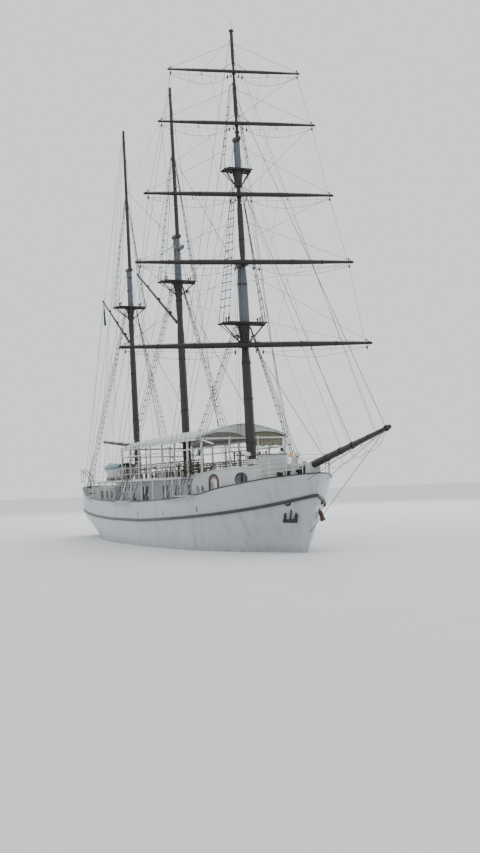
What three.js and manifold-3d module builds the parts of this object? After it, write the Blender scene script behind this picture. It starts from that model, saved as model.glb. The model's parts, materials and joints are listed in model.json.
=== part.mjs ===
// A three-masted sailing ship with square yards on the foremast and gaffs on the main and mizzen.
// Millimetres. +X runs to the bow, +Y to port, +Z up, and the origin is on the centreline,
// amidships, at the waterline.
import * as THREE from 'three';
import { mergeVertices } from 'three/addons/utils/BufferGeometryUtils.js';
import Module from 'manifold-3d';

const wasm = await Module();
wasm.setup();

// Driving dimensions
const GAP = 0.3;                 // between pieces that rest on each other
const TURN_GAP = 3;              // under a pin that turns on a sloping deck or sole piece
const CAMBER = 80;               // rise of the deck at the centreline
const KNEE_DROP = 450;           // knuckle of the side below the deck edge
const WALL = 90;                 // bulwark plating and frames
const MAST_RAKE = 0.055;         // metres aft for each metre up
const MAST_DATUM = 4300;         // height at which the masts' places are given
const BRACE_ANGLE = -10.9;       // degrees, port yardarms forward
const PROMENADE_TOP = 3600;
const PROMENADE_THICK = 90;
const FORECASTLE_TOP = 3200;
const SPRIT_HEEL = [13150, 3584];
const SPRIT_TIP = [21390, 5180];

// The hull's sections from stern to bow. keel: lowest point; wl: half-breadth at the waterline,
// or 0 where the section is clear of it; knee: half-breadth at the knuckle; half and deck: the
// deck edge; railX, railHalf and rail: the top of the bulwark; full: how round the bilge is.
const SECTIONS = [
  { x: -17950, keel: 1480, wl: 0, knee: 40, half: 60, deck: 1950,
    railX: -18150, railHalf: 60, rail: 3350, full: 1 },
  { x: -17850, keel: 1330, wl: 0, knee: 380, half: 450, deck: 1950,
    railX: -18040, railHalf: 460, rail: 3345, full: 1 },
  { x: -17500, keel: 1130, wl: 0, knee: 850, half: 930, deck: 1945,
    railX: -17680, railHalf: 960, rail: 3335, full: 1 },
  { x: -16900, keel: 880, wl: 0, knee: 1350, half: 1450, deck: 1930,
    railX: -17050, railHalf: 1500, rail: 3310, full: 1 },
  { x: -16000, keel: 520, wl: 0, knee: 1850, half: 1980, deck: 1900,
    railX: -16080, railHalf: 2030, rail: 3250, full: 1 },
  { x: -15000, keel: 130, wl: 0, knee: 2150, half: 2250, deck: 1850,
    railX: -15000, railHalf: 2320, rail: 3140, full: 1 },
  { x: -14000, keel: -350, wl: 1050, knee: 2400, half: 2450, deck: 1790,
    railX: -14000, railHalf: 2500, rail: 2990, full: 1 },
  { x: -13000, keel: -950, wl: 1560, knee: 2560, half: 2610, deck: 1730,
    railX: -13000, railHalf: 2660, rail: 2850, full: 1 },
  { x: -11000, keel: -2150, wl: 2250, knee: 2830, half: 2880, deck: 1640,
    railX: -11000, railHalf: 2920, rail: 2590, full: 1.2 },
  { x: -8000, keel: -2650, wl: 2950, knee: 3110, half: 3150, deck: 1550,
    railX: -8000, railHalf: 3180, rail: 2450, full: 2 },
  { x: -4000, keel: -2750, wl: 3330, knee: 3390, half: 3410, deck: 1490,
    railX: -4000, railHalf: 3440, rail: 2400, full: 2.8 },
  { x: 0, keel: -2750, wl: 3420, knee: 3470, half: 3480, deck: 1490,
    railX: 0, railHalf: 3510, rail: 2385, full: 3 },
  { x: 4000, keel: -2700, wl: 3280, knee: 3360, half: 3390, deck: 1600,
    railX: 4000, railHalf: 3430, rail: 2470, full: 2.5 },
  { x: 7000, keel: -2650, wl: 2900, knee: 3060, half: 3110, deck: 1730,
    railX: 7000, railHalf: 3210, rail: 2620, full: 2 },
  { x: 8600, keel: -2600, wl: 2480, knee: 2790, half: 2860, deck: 1820,
    railX: 8650, railHalf: 3010, rail: 2740, full: 1.6 },
  { x: 10000, keel: -2500, wl: 1900, knee: 2440, half: 2540, deck: 1920,
    railX: 10100, railHalf: 2740, rail: 2960, full: 1.2 },
  { x: 11500, keel: -2250, wl: 1120, knee: 1950, half: 2090, deck: 2060,
    railX: 11650, railHalf: 2340, rail: 3140, full: 1 },
  { x: 12700, keel: -1650, wl: 520, knee: 1440, half: 1620, deck: 2200,
    railX: 12900, railHalf: 1880, rail: 3290, full: 1 },
  { x: 13400, keel: -850, wl: 180, knee: 1020, half: 1220, deck: 2310,
    railX: 13650, railHalf: 1480, rail: 3370, full: 1 },
  { x: 13850, keel: 220, wl: 0, knee: 740, half: 950, deck: 2390,
    railX: 14120, railHalf: 1190, rail: 3410, full: 1 },
  { x: 14400, keel: 1180, wl: 0, knee: 330, half: 540, deck: 2510,
    railX: 14700, railHalf: 780, rail: 3460, full: 1 },
  { x: 14800, keel: 1950, wl: 0, knee: 80, half: 230, deck: 2600,
    railX: 15220, railHalf: 350, rail: 3490, full: 1 },
  { x: 15030, keel: 2150, wl: 0, knee: 30, half: 40, deck: 2650,
    railX: 15500, railHalf: 50, rail: 3500, full: 1 },
];

const COLOURS = {
  hullPaint: 0xd9dcdd, darkTrim: 0x2c2b29, whitePaint: 0xe4e5e3, teak: 0x8a7355, spar: 0x3b332c,
  mastPaint: 0x6a645d, wire: 0x2d2e30, canvas: 0xd8d8d0, iron: 0x2b2c2e, bronze: 0x9a7b45,
  cover: 0x4d8790, flag: 0x24313f, glass: 0x8fa1a8,
};

// Geometry helpers

// One solid from a geometry whose shared vertices are merged.
function solid(geometry) {
  const bare = geometry.index ? geometry.clone() : geometry;
  for (const name of Object.keys(bare.attributes)) if (name !== 'position') bare.deleteAttribute(name);
  const merged = mergeVertices(bare, 1e-3);
  return new wasm.Manifold(new wasm.Mesh({
    numProp: 3,
    vertProperties: new Float32Array(merged.attributes.position.array),
    triVerts: new Uint32Array(merged.index.array),
  }));
}

function geometryOf(body) {
  const mesh = body.getMesh();
  const geometry = new THREE.BufferGeometry();
  geometry.setAttribute('position', new THREE.BufferAttribute(new Float32Array(mesh.vertProperties), 3));
  geometry.setIndex(new THREE.BufferAttribute(new Uint32Array(mesh.triVerts), 1));
  return geometry;
}

const join = (bodies) => bodies.reduce((sum, body) => sum.add(body));
const carve = (body, cutters) => cutters.reduce((rest, cutter) => rest.subtract(cutter), body);

// A box from its lowest and highest corner.
function block(x0, x1, y0, y1, z0, z1) {
  const box = new THREE.BoxGeometry(x1 - x0, y1 - y0, z1 - z0);
  return solid(box.translate((x0 + x1) / 2, (y0 + y1) / 2, (z0 + z1) / 2));
}

// A round bar from one point to another, with a radius at each end.
function bar(from, to, radius, endRadius = radius, sides = 8) {
  const a = new THREE.Vector3(...from);
  const b = new THREE.Vector3(...to);
  const shape = new THREE.CylinderGeometry(endRadius, radius, a.distanceTo(b), sides);
  shape.rotateY(Math.PI / sides);
  shape.translate(0, a.distanceTo(b) / 2, 0);
  const direction = b.clone().sub(a).normalize();
  const turn = new THREE.Quaternion().setFromUnitVectors(new THREE.Vector3(0, 1, 0), direction);
  shape.applyQuaternion(turn);
  return solid(shape.translate(...from));
}

// A body of revolution about +Z from rows of [height, radius], closed on the axis.
function turned(rows, sides = 12) {
  const profile = [new THREE.Vector2(0, rows[0][0])];
  for (const [height, radius] of rows) profile.push(new THREE.Vector2(radius, height));
  profile.push(new THREE.Vector2(0, rows[rows.length - 1][0]));
  return new THREE.LatheGeometry(profile, sides).rotateX(Math.PI / 2);
}

// An outline of [x, z] points drawn in the centre plane and given a width across the ship.
function plate(outline, y0, y1) {
  const shape = new THREE.Shape(outline.map(([x, z]) => new THREE.Vector2(x, z)));
  const body = new THREE.ExtrudeGeometry(shape, { depth: y1 - y0, bevelEnabled: false, curveSegments: 6 });
  return solid(body.rotateX(Math.PI / 2).translate(0, y1, 0));
}

// An outline of [x, y] points in plan, given a height.
function slab(outline, z0, z1) {
  const shape = new THREE.Shape(outline.map(([x, y]) => new THREE.Vector2(x, y)));
  return solid(new THREE.ExtrudeGeometry(shape, { depth: z1 - z0, bevelEnabled: false }).translate(0, 0, z0));
}

// A closed skin over rings of points. Each ring has the same number of points. With open ends
// the first and last ring are filled; with loop set, the last ring joins the first.
function skin(rings, loop = false) {
  const count = rings[0].length;
  const points = rings.flat();
  const faces = [];
  const last = loop ? rings.length : rings.length - 1;
  for (let i = 0; i < last; i += 1) {
    const a = i * count;
    const b = ((i + 1) % rings.length) * count;
    for (let j = 0; j < count; j += 1) {
      const k = (j + 1) % count;
      faces.push(a + j, a + k, b + k, a + j, b + k, b + j);
    }
  }
  if (!loop) {
    for (let j = 1; j < count - 1; j += 1) {
      const end = (rings.length - 1) * count;
      faces.push(0, j + 1, j, end, end + j, end + j + 1);
    }
  }
  const geometry = new THREE.BufferGeometry();
  geometry.setAttribute('position', new THREE.Float32BufferAttribute(points.flat(), 3));
  geometry.setIndex(faces);
  const body = solid(geometry);
  if (body.volume() > 0) return body;
  for (let f = 0; f < faces.length; f += 3) [faces[f], faces[f + 1]] = [faces[f + 1], faces[f]];
  geometry.setIndex(faces);
  return solid(geometry);
}

// A value of the hull's table at any place along the ship.
function along(x, column, place = 'x') {
  const rows = SECTIONS;
  if (x <= rows[0][place]) return rows[0][column];
  for (let i = 1; i < rows.length; i += 1) {
    if (x <= rows[i][place]) {
      const t = (x - rows[i - 1][place]) / (rows[i][place] - rows[i - 1][place]);
      return rows[i - 1][column] + t * (rows[i][column] - rows[i - 1][column]);
    }
  }
  return rows[rows.length - 1][column];
}
const deckAt = (x) => along(x, 'deck');
const railAt = (x) => along(x, 'rail', 'railX');
const railHalfAt = (x) => along(x, 'railHalf', 'railX');

// Hull

// Half of one section from the keel up to the deck's centre. grow widens and heightens it.
function halfSection(row, grow) {
  const top = row.deck - KNEE_DROP * Math.min(1, (row.deck - row.keel) / 900);
  const depth = top - row.keel;
  const share = row.wl > 0 ? 1 - (1 - (0 - row.keel) / depth) ** row.full : 0;
  const power = row.wl > 0 ? Math.log(row.wl / row.knee) / Math.log(share) : 0.62;
  const points = [[0, row.keel - grow]];
  for (const s of [0.06, 0.16, 0.32, 0.5, 0.7, 0.86]) {
    points.push([row.knee * (1 - (1 - s) ** row.full) ** power + grow, row.keel + s * depth]);
  }
  points.push([row.knee + grow, top], [row.half + grow, row.deck + grow]);
  points.push([row.half * 0.5, row.deck + CAMBER * 0.75 + grow], [0, row.deck + CAMBER + grow]);
  return points;
}

function hullBody(grow) {
  const rings = SECTIONS.map((row) => {
    const half = halfSection(row, grow);
    const port = half.slice(1, -1).reverse().map(([y, z]) => [row.x, y, z]);
    return [...half.map(([y, z]) => [row.x, -y, z]), ...port];
  });
  return skin(rings);
}

// The keel, the deadwood ahead of the propeller and the sole piece under the rudder.
const KEEL_LINE = [
  [11300, -2150], [12300, -2080], [11200, -2620], [8600, -2900], [-6000, -3080], [-14450, -3150],
  [-14450, -2990], [-13050, -2960], [-13050, -700], [-12000, -1200], [-10500, -2000], [-8000, -2450],
  [0, -2600], [8000, -2400],
];
const keel = plate(KEEL_LINE, -140, 140);
const sternTube = bar([-12400, 0, -1750], [-13150, 0, -1750], 190, 130, 12);
const RUDDER_AXIS = -14050;
const rudderTrunk = bar([RUDDER_AXIS, 0, 900], [RUDDER_AXIS, 0, -540], 170, 150, 12);
const hullShape = join([hullBody(0), keel, sternTube, rudderTrunk]);
const hullEdge = hullBody(GAP);

// Bulwark, cap rail and rubbing strake run round the whole hull.

// The rings of a band that follows the hull's edge: the rows forward along starboard, then back
// along port. shape gives the section's corners as [outward, up] from the row's own point.
function edgeBand(rows, pointOf, shape) {
  const starboard = rows.map((row) => pointOf(row));
  const loop = [...starboard.map(([x, y, z]) => [x, -y, z]), ...starboard.slice().reverse()];
  const rings = loop.map(([x, y, z], i) => {
    const before = loop[(i + loop.length - 1) % loop.length];
    const after = loop[(i + 1) % loop.length];
    const tangent = new THREE.Vector2(after[0] - before[0], after[1] - before[1]).normalize();
    return shape(i < starboard.length ? i : loop.length - 1 - i).map(([out, up]) => [
      x + tangent.y * out, y - tangent.x * out, z + up,
    ]);
  });
  return skin(rings, true);
}

const railPoint = (row) => [row.railX, row.railHalf, row.rail];
const deckPoint = (row) => [row.x, row.half, row.deck];

function bulwarkBody(grow = 0) {
  const lower = SECTIONS.map(deckPoint);
  const upper = SECTIONS.map(railPoint);
  const ring = (points, out) => {
    const loop = [...points.map(([x, y, z]) => [x, -y, z]), ...points.slice().reverse()];
    return loop.map(([x, y, z], i) => {
      const before = loop[(i + loop.length - 1) % loop.length];
      const after = loop[(i + 1) % loop.length];
      const tangent = new THREE.Vector2(after[0] - before[0], after[1] - before[1]).normalize();
      return [x + tangent.y * out, y - tangent.x * out, z];
    });
  };
  const low = ring(lower, grow);
  const lowIn = ring(lower, -WALL - grow);
  const top = ring(upper, grow);
  const topIn = ring(upper, -WALL - grow);
  const rings = low.map((point, i) => [
    [point[0], point[1], point[2] - 40 - grow], [top[i][0], top[i][1], top[i][2] + grow],
    [topIn[i][0], topIn[i][1], topIn[i][2] + grow], [lowIn[i][0], lowIn[i][1], lowIn[i][2] - 40 - grow],
  ]);
  return skin(rings, true);
}

const FREEING_PORTS = [-11500, -7600, -3700, 400, 4300, 8100];
const portCutters = FREEING_PORTS.map((x) => (
  block(x - 60, x + 60, -4000, 4000, deckAt(x) + 110, deckAt(x) + 350)
));
const bulwark = carve(bulwarkBody(), [...portCutters, hullEdge]);
const bulwarkSpace = bulwarkBody(GAP);

const CAP_THICK = 60;
const capRail = edgeBand(SECTIONS, railPoint, () => [
  [45, 0], [45, CAP_THICK], [-WALL - 45, CAP_THICK], [-WALL - 45, 0],
]).subtract(bulwarkSpace);

const capSpace = join([capRail, capRail.translate([0, 0, GAP])]);

const STRAKE_HIGH = 150;
const strake = edgeBand(SECTIONS, deckPoint, () => [
  [70, -20 - STRAKE_HIGH], [70, -20], [-60, -20], [-60, -20 - STRAKE_HIGH],
]).subtract(hullEdge).subtract(bulwarkSpace);

// The space inside the bulwark, a little clear of it, for what fills it from side to side.
function insideBulwark() {
  const shrink = WALL + 2;
  const rings = SECTIONS.slice(3, -1).map((row) => {
    const low = Math.max(row.half - shrink, 20);
    const high = Math.max(row.railHalf - shrink, 30);
    return [[row.x, -low, row.deck - 100], [row.railX, -high, row.rail], [row.railX, high, row.rail],
      [row.x, low, row.deck - 100]];
  });
  return skin(rings);
}

const above = hullEdge;

// Forecastle: the raised deck at the bow and the bulkhead under its break
const BREAK_X = 12600;
const forecastle = carve(
  join([
    block(BREAK_X, 15000, -2200, 2200, FORECASTLE_TOP - 90, FORECASTLE_TOP),
    block(BREAK_X, BREAK_X + 60, -2200, 2200, 1900, FORECASTLE_TOP - 50),
  ]).intersect(insideBulwark()),
  [block(BREAK_X - 10, BREAK_X + 70, -1100, -500, 2330, 3000), above, bulwarkSpace],
);

// Forward deckhouse: [x, half-width, top] along it
const HOUSE_WALL = 70;
const FORWARD_HOUSE = [[6660, 2640, 3730], [8700, 2480, 3880], [10500, 2170, 3990], [12560, 1500, 4030]];
const SIDE_DOOR = { x0: 8680, x1: 9430, top: 3330, crown: 3620 };

function houseShell(rows, wall) {
  const ring = (inset, drop, sink) => rows.map(([x, half, top], i) => {
    const shift = i === 0 ? inset : i === rows.length - 1 ? -inset : 0;
    const low = deckAt(x) - sink;
    return [[x + shift, -half + inset, low], [x + shift, -half + inset, top - drop - 40],
      [x + shift, 0, top - drop], [x + shift, half - inset, top - drop - 40], [x + shift, half - inset, low]];
  });
  return skin(ring(0, 0, 30)).subtract(skin(ring(wall, wall, 200)));
}

function archCutter(x0, x1, low, spring, crown, y0, y1) {
  const half = (x1 - x0) / 2;
  const outline = [[x0, low], [x1, low]];
  for (let i = 0; i <= 6; i += 1) {
    const turn = (Math.PI * i) / 6;
    outline.push([(x0 + x1) / 2 + half * Math.cos(turn), spring + (crown - spring) * Math.sin(turn)]);
  }
  return plate(outline, y0, y1);
}

function ovalCutter(x, z, rx, rz, y0, y1) {
  const outline = [];
  for (let i = 0; i < 12; i += 1) {
    const turn = (Math.PI * i) / 6;
    outline.push([x + rx * Math.cos(turn), z + rz * Math.sin(turn)]);
  }
  return plate(outline, y0, y1);
}

const mastLine = (x) => (z) => x - MAST_RAKE * (z - MAST_DATUM);
const FORE = mastLine(8168);
const MAIN = mastLine(-865);
const MIZZEN = mastLine(-9982);
const spar = (line, z0, z1, r0, r1, sides = 12) => bar([line(z0), 0, z0], [line(z1), 0, z1], r0, r1, sides);

const sideDoorCut = archCutter(SIDE_DOOR.x0, SIDE_DOOR.x1, 1972, SIDE_DOOR.top, SIDE_DOOR.crown, -3000, 3000);
const portholeCut = ovalCutter(11250, 3400, 330, 240, -3000, 3000);
const forwardHouse = carve(houseShell(FORWARD_HOUSE, HOUSE_WALL), [
  sideDoorCut, portholeCut, spar(FORE, 1000, 5000, 235, 235), above,
]);

const HINGE_GAP = 0.5;

// Doors in the forward deckhouse, set in the wall's thickness. They open inwards on their after edge.
function sideDoor(side) {
  const wallAt = (x) => 2640 + ((2480 - 2640) * (x - 6660)) / (8700 - 6660);
  const wallNext = (x) => 2480 + ((2170 - 2480) * (x - 8700)) / (10500 - 8700);
  const half = (x) => (x < 8700 ? wallAt(x) : wallNext(x));
  const { x0, x1, top, crown } = SIDE_DOOR;
  const raw = archCutter(x0 + HINGE_GAP, x1 - 8, 1980, top, crown - 8, -3000, 3000);
  const leaf = slab([[x0, side * (half(x0) - 12)], [x1, side * (half(x1) - 12)], [x1, side * (half(x1) - 52)],
    [x0, side * (half(x0) - 52)]], 1900, 3700);
  return raw.intersect(leaf);
}

// Midships deckhouse: four walls that carry the promenade deck
const MID_HOUSE = { x0: -6300, x1: 6500, half: 2080 };
const MID_WINDOWS = [-4600, -2300, 1200, 3200, 5200];
const END_DOOR = { y0: -400, y1: 400, top: 3330 };
const underside = PROMENADE_TOP - PROMENADE_THICK;
const midHouse = carve(
  block(MID_HOUSE.x0, MID_HOUSE.x1, -MID_HOUSE.half, MID_HOUSE.half, 1300, underside - GAP),
  [
    block(MID_HOUSE.x0 + HOUSE_WALL, MID_HOUSE.x1 - HOUSE_WALL, -MID_HOUSE.half + HOUSE_WALL,
      MID_HOUSE.half - HOUSE_WALL, 1200, 3700),
    ...MID_WINDOWS.map((x) => block(x - 550, x + 550, -2500, 2500, 2420, 3220)),
    block(MID_HOUSE.x0 - 20, MID_HOUSE.x0 + 120, END_DOOR.y0, END_DOOR.y1, 1650, END_DOOR.top),
    above,
  ],
);
const endDoor = block(
  MID_HOUSE.x0 + 10, MID_HOUSE.x0 + 50, END_DOOR.y0 + 8, END_DOOR.y1 - HINGE_GAP, 1658, END_DOOR.top - 8,
);

// Promenade deck over the waist, on posts that stand on the cap rail
const PROMENADE = { x0: -10300, x1: 6640, inset: 70 };
const STAIR_WELL = { x0: -4700, x1: -2700, y0: 2370, y1: 3190 };
const POST_X = [-10150, -8300, -6500, -2500, -700, 1100, 2900, 4700, 5600, 6500];

const promenadeHalf = (x) => railHalfAt(x) - PROMENADE.inset;
function promenadeOutline() {
  const xs = [PROMENADE.x0, -8000, -4000, 0, 4000, PROMENADE.x1];
  const back = xs.slice().reverse();
  return [...xs.map((x) => [x, -promenadeHalf(x)]), ...back.map((x) => [x, promenadeHalf(x)])];
}
const capTop = (x) => railAt(x) + CAP_THICK;
const promenadeDeck = carve(
  join([
    slab(promenadeOutline(), underside, PROMENADE_TOP),
    ...POST_X.flatMap((x) => [-1, 1].map((side) => {
      const y = side * (railHalfAt(x) - WALL / 2);
      return bar([x, y, railAt(x) + 20], [x, y, PROMENADE_TOP - 20], 42, 42, 8);
    })),
  ]),
  [
    ...[-1, 1].map((side) => {
      const y0 = side > 0 ? STAIR_WELL.y0 : -STAIR_WELL.y1;
      return block(STAIR_WELL.x0, STAIR_WELL.x1, y0, y0 + STAIR_WELL.y1 - STAIR_WELL.y0, 3400, 3700);
    }),
    spar(MAIN, 3000, 4200, 220, 220),
    spar(MIZZEN, 3000, 4200, 200, 200),
    capSpace,
  ],
);

// Guard rails: stanchions and bars along a path of [x, y] points at deck height z
function guardRail(path, z, height, bars, thick = 16) {
  const pieces = [];
  for (const [x, y] of path) pieces.push(bar([x, y, z], [x, y, z + height], thick, thick, 6));
  for (let i = 1; i < path.length; i += 1) {
    for (let b = 1; b <= bars; b += 1) {
      const level = z + (height * b) / bars - (b === bars ? 6 : 0);
      pieces.push(bar([...path[i - 1], level], [...path[i], level], thick * 0.85, thick * 0.85, 4));
    }
  }
  return join(pieces);
}

// Round the promenade's edge on a toe rail, left open where the ship's boat is put out to starboard
const BOAT_GAP = [-5850, -9900];
const railLine = (x, side) => [x, side * (promenadeHalf(x) - 60)];
const promenadeRail = (() => {
  const z = PROMENADE_TOP + GAP;
  const forward = [-4200, -2700, -1100, 400, 1900, 3400, 4900, 6400];
  const starboard = [BOAT_GAP[0], ...forward].map((x) => railLine(x, -1));
  const port = [-8800, -7300, -5800, ...forward].map((x) => railLine(x, 1));
  const stern = [
    railLine(BOAT_GAP[1], -1), railLine(-10230, -1), [-10230, -1000], [-10230, 1000], railLine(-10230, 1),
  ];
  const loop = [...starboard.slice().reverse(), ...stern, ...port];
  const toe = loop.slice(1).map((point, i) => bar([...loop[i], z + 18], [...point, z + 18], 18, 18, 6));
  return join([...toe, guardRail([...stern, ...port], z, 1000, 3), guardRail(starboard, z, 1000, 3)]);
})();

// Forecastle rail, standing on the cap rail from the break round the bow
const bowXs = [12750, 13500, 14250, 14900];
const bowHalf = (x) => railHalfAt(x) - WALL / 2;
const forecastleRail = (() => {
  const pieces = [];
  for (const side of [-1, 1]) {
    const path = bowXs.map((x) => [x, side * bowHalf(x)]);
    path.forEach(([x, y]) => pieces.push(bar([x, y, railAt(x) + 30], [x, y, capTop(x) + 830], 18, 18, 6)));
    for (let i = 1; i < path.length; i += 1) {
      for (const up of [220, 430, 640, 824]) {
        const from = [...path[i - 1], capTop(bowXs[i - 1]) + up];
        pieces.push(bar(from, [...path[i], capTop(bowXs[i]) + up], 14, 14, 4));
      }
    }
  }
  const end = bowXs[bowXs.length - 1];
  for (const up of [640, 824]) {
    const z = capTop(end) + up;
    pieces.push(bar([end, -bowHalf(end), z], [end, bowHalf(end), z], 13, 13, 6));
  }
  return join(pieces).subtract(capSpace);
})();

// Stairs from the side decks up to the promenade
const STAIR = { foot: -5300, y0: 2420, y1: 3130, steps: 8, rail: 930 };
function stair(side) {
  const head = { x: STAIR_WELL.x1 - GAP, z: PROMENADE_TOP };
  const foot = { x: STAIR.foot, z: deckAt(STAIR.foot) };
  const climb = (x) => foot.z + ((head.z - foot.z) * (x - foot.x)) / (head.x - foot.x);
  const pieces = [];
  for (const y of [STAIR.y0, STAIR.y1 - 50]) {
    const outline = [
      [foot.x, foot.z - 60], [foot.x + 280, foot.z - 60], [head.x, head.z - 260], [head.x, head.z - 10],
    ];
    const mid = side * (y + 25);
    pieces.push(plate(outline, mid - 25, mid + 25));
    const low = [foot.x + 150, mid, climb(foot.x + 150) + STAIR.rail];
    pieces.push(bar(low, [head.x - 30, mid, climb(head.x - 30) + STAIR.rail],
      20, 20, 6));
    for (const x of [foot.x + 170, head.x - 60]) {
      pieces.push(bar([x, mid, climb(x) - 60], [x, mid, climb(x) + STAIR.rail], 18, 18, 6));
    }
  }
  for (let i = 1; i < STAIR.steps; i += 1) {
    const x = foot.x + ((head.x - foot.x) * i) / STAIR.steps;
    const low = side > 0 ? STAIR.y0 + 10 : -STAIR.y1 + 10;
    pieces.push(block(x - 60, x + 160, low, low + STAIR.y1 - STAIR.y0 - 20, climb(x) - 30, climb(x) + 5));
  }
  return carve(join(pieces), [above]);
}

// Pavilion over the promenade: a white frame with two canvas roofs
const PAVILION = { x0: -6000, step: -2650, x1: 7300, half: 2300, eave: 5600, rise: 560 };
const AFT_DROP = -70;
const POST = 45;
const PAVILION_POSTS = [-5955, -4300, -2700, -660, 1330, 3320, 5310, 7255];
const ROOF_STEPS = 8;
const postBase = (x) => (x > PROMENADE.x1 ? 3700 : PROMENADE_TOP + GAP);
// Height of the canvas above the eaves beam at a share of the half-width
const crown = (share) => 40 + PAVILION.rise * (1 - Math.abs(share) ** 1.7);

// A band across the ship that follows the roof's curve, from low to high above its underside
function roofBand(x0, x1, lift, low, high, skirt, over) {
  const top = [];
  const bottom = [];
  for (let i = 0; i <= ROOF_STEPS; i += 1) {
    const share = -1 + (2 * i) / ROOF_STEPS;
    top.push([share * over, PAVILION.eave + lift + crown(share) + high]);
    bottom.push([share * (over - skirt), PAVILION.eave + lift + crown(share) + low]);
  }
  const foot = PAVILION.eave - 170 + lift;
  const hem = skirt > 0 ? [[over, foot], [over - skirt, foot]] : [];
  const hemFar = skirt > 0 ? [[-over + skirt, foot], [-over, foot]] : [];
  const outline = [...top, ...hem, ...bottom.reverse(), ...hemFar];
  const shape = new THREE.Shape(outline.map(([y, z]) => new THREE.Vector2(y, z)));
  const body = new THREE.ExtrudeGeometry(shape, { depth: x1 - x0, bevelEnabled: false });
  return solid(body.rotateX(Math.PI / 2).rotateZ(Math.PI / 2).translate(x0, 0, 0));
}
const CLOTH = 28;
const OVER = PAVILION.half + 110;
const roofShape = (x0, x1, lift) => roofBand(x0, x1, lift, 0, CLOTH, CLOTH, OVER);
const canvasRoof = (x0, x1, lift) => roofShape(x0, x1, lift).subtract(spar(MAIN, 3000, 8000, 214, 208));

function pavilionFrame() {
  const { half, eave, x0, x1 } = PAVILION;
  const pieces = [];
  for (const side of [-1, 1]) {
    const y = side * half;
    for (const x of PAVILION_POSTS) {
      const top = eave + 50 + (x < PAVILION.step ? AFT_DROP : 0);
      pieces.push(block(x - POST, x + POST, y - POST, y + POST, postBase(x), top));
    }
    pieces.push(block(x0, x1, y - POST, y + POST, eave + AFT_DROP - 90, eave + AFT_DROP));
    pieces.push(block(x0, x1, y - 30, y + 30, eave - 620, eave - 560));
  }
  for (const x of PAVILION_POSTS) {
    const lift = x < PAVILION.step ? AFT_DROP : 0;
    pieces.push(roofBand(x - 30, x + 30, lift, -60 - GAP, -GAP, 0, OVER - CLOTH - 1));
  }
  for (const x of [PAVILION_POSTS[0], PAVILION_POSTS[7]]) {
    pieces.push(block(x - 30, x + 30, -half, half, eave + AFT_DROP - 90, eave + AFT_DROP));
    pieces.push(block(x - 30, x + 30, -half, half, eave - 620, eave - 560));
    for (const y of [-780, 780]) pieces.push(block(x - 30, x + 30, y - 30, y + 30, postBase(x), eave));
  }
  return carve(join(pieces), [spar(MAIN, 3000, 8000, 212, 205), forwardHouse.translate([0, 0, GAP])]);
}

// Aft deckhouse with a skylight on its top
const AFT_HOUSE = { x0: -14600, x1: -11000, half: 1300, top: 3350 };
const SKYLIGHT = { x0: -13600, x1: -12400, half: 420 };
const aftHouse = carve(
  join([
    block(AFT_HOUSE.x0, AFT_HOUSE.x1, -AFT_HOUSE.half, AFT_HOUSE.half, 1500, AFT_HOUSE.top),
    block(SKYLIGHT.x0, SKYLIGHT.x1, -SKYLIGHT.half, SKYLIGHT.half, AFT_HOUSE.top - 20, AFT_HOUSE.top + 190),
  ]),
  [
    block(AFT_HOUSE.x0 + HOUSE_WALL, AFT_HOUSE.x1 - HOUSE_WALL, -AFT_HOUSE.half + HOUSE_WALL,
      AFT_HOUSE.half - HOUSE_WALL, 1200, AFT_HOUSE.top - 70),
    block(SKYLIGHT.x0 + 50, SKYLIGHT.x1 - 50, -SKYLIGHT.half + 50, SKYLIGHT.half - 50, 3000, 4000),
    ...[-13900, -12800, -11700].map((x) => block(x - 260, x + 260, -2000, 2000, 2550, 3020)),
    block(AFT_HOUSE.x0 - 20, AFT_HOUSE.x0 + 120, -380, 380, 1975, 3150),
    above,
  ],
);
const aftDoor = block(AFT_HOUSE.x0 + 10, AFT_HOUSE.x0 + 50, -372, 380 - HINGE_GAP, 1983, 3142);
const skylightLid = join([
  block(SKYLIGHT.x0 - 30, SKYLIGHT.x1 + 30, -SKYLIGHT.half - 30, SKYLIGHT.half + 30, 3540 + GAP, 3590),
  block(SKYLIGHT.x0 + 60, SKYLIGHT.x1 - 60, -SKYLIGHT.half + 60, SKYLIGHT.half - 60, 3580, 3610),
]);

// Steering: pedestal and wheel abaft the aft deckhouse
const HELM = { x: -15650, z: 2900, radius: 520 };
const pedestal = carve(join([
  block(HELM.x - 110, HELM.x + 150, -170, 170, 1700, 2560),
  block(HELM.x - 110, HELM.x + 130, -150, 150, 2550, 3060),
]), [above]);

function steeringWheel() {
  const rim = new THREE.TorusGeometry(HELM.radius - 90, 28, 6, 20);
  const pieces = [solid(rim.rotateY(Math.PI / 2))];
  for (let i = 0; i < 8; i += 1) {
    const turn = (Math.PI * i) / 4;
    const tip = [0, HELM.radius * Math.cos(turn), HELM.radius * Math.sin(turn)];
    pieces.push(bar([0, 0, 0], tip, 20, 16, 6));
  }
  pieces.push(bar([-55, 0, 0], [39.5, 0, 0], 75, 75, 10));
  return join(pieces).translate([HELM.x - 150, 0, HELM.z]);
}

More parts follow.
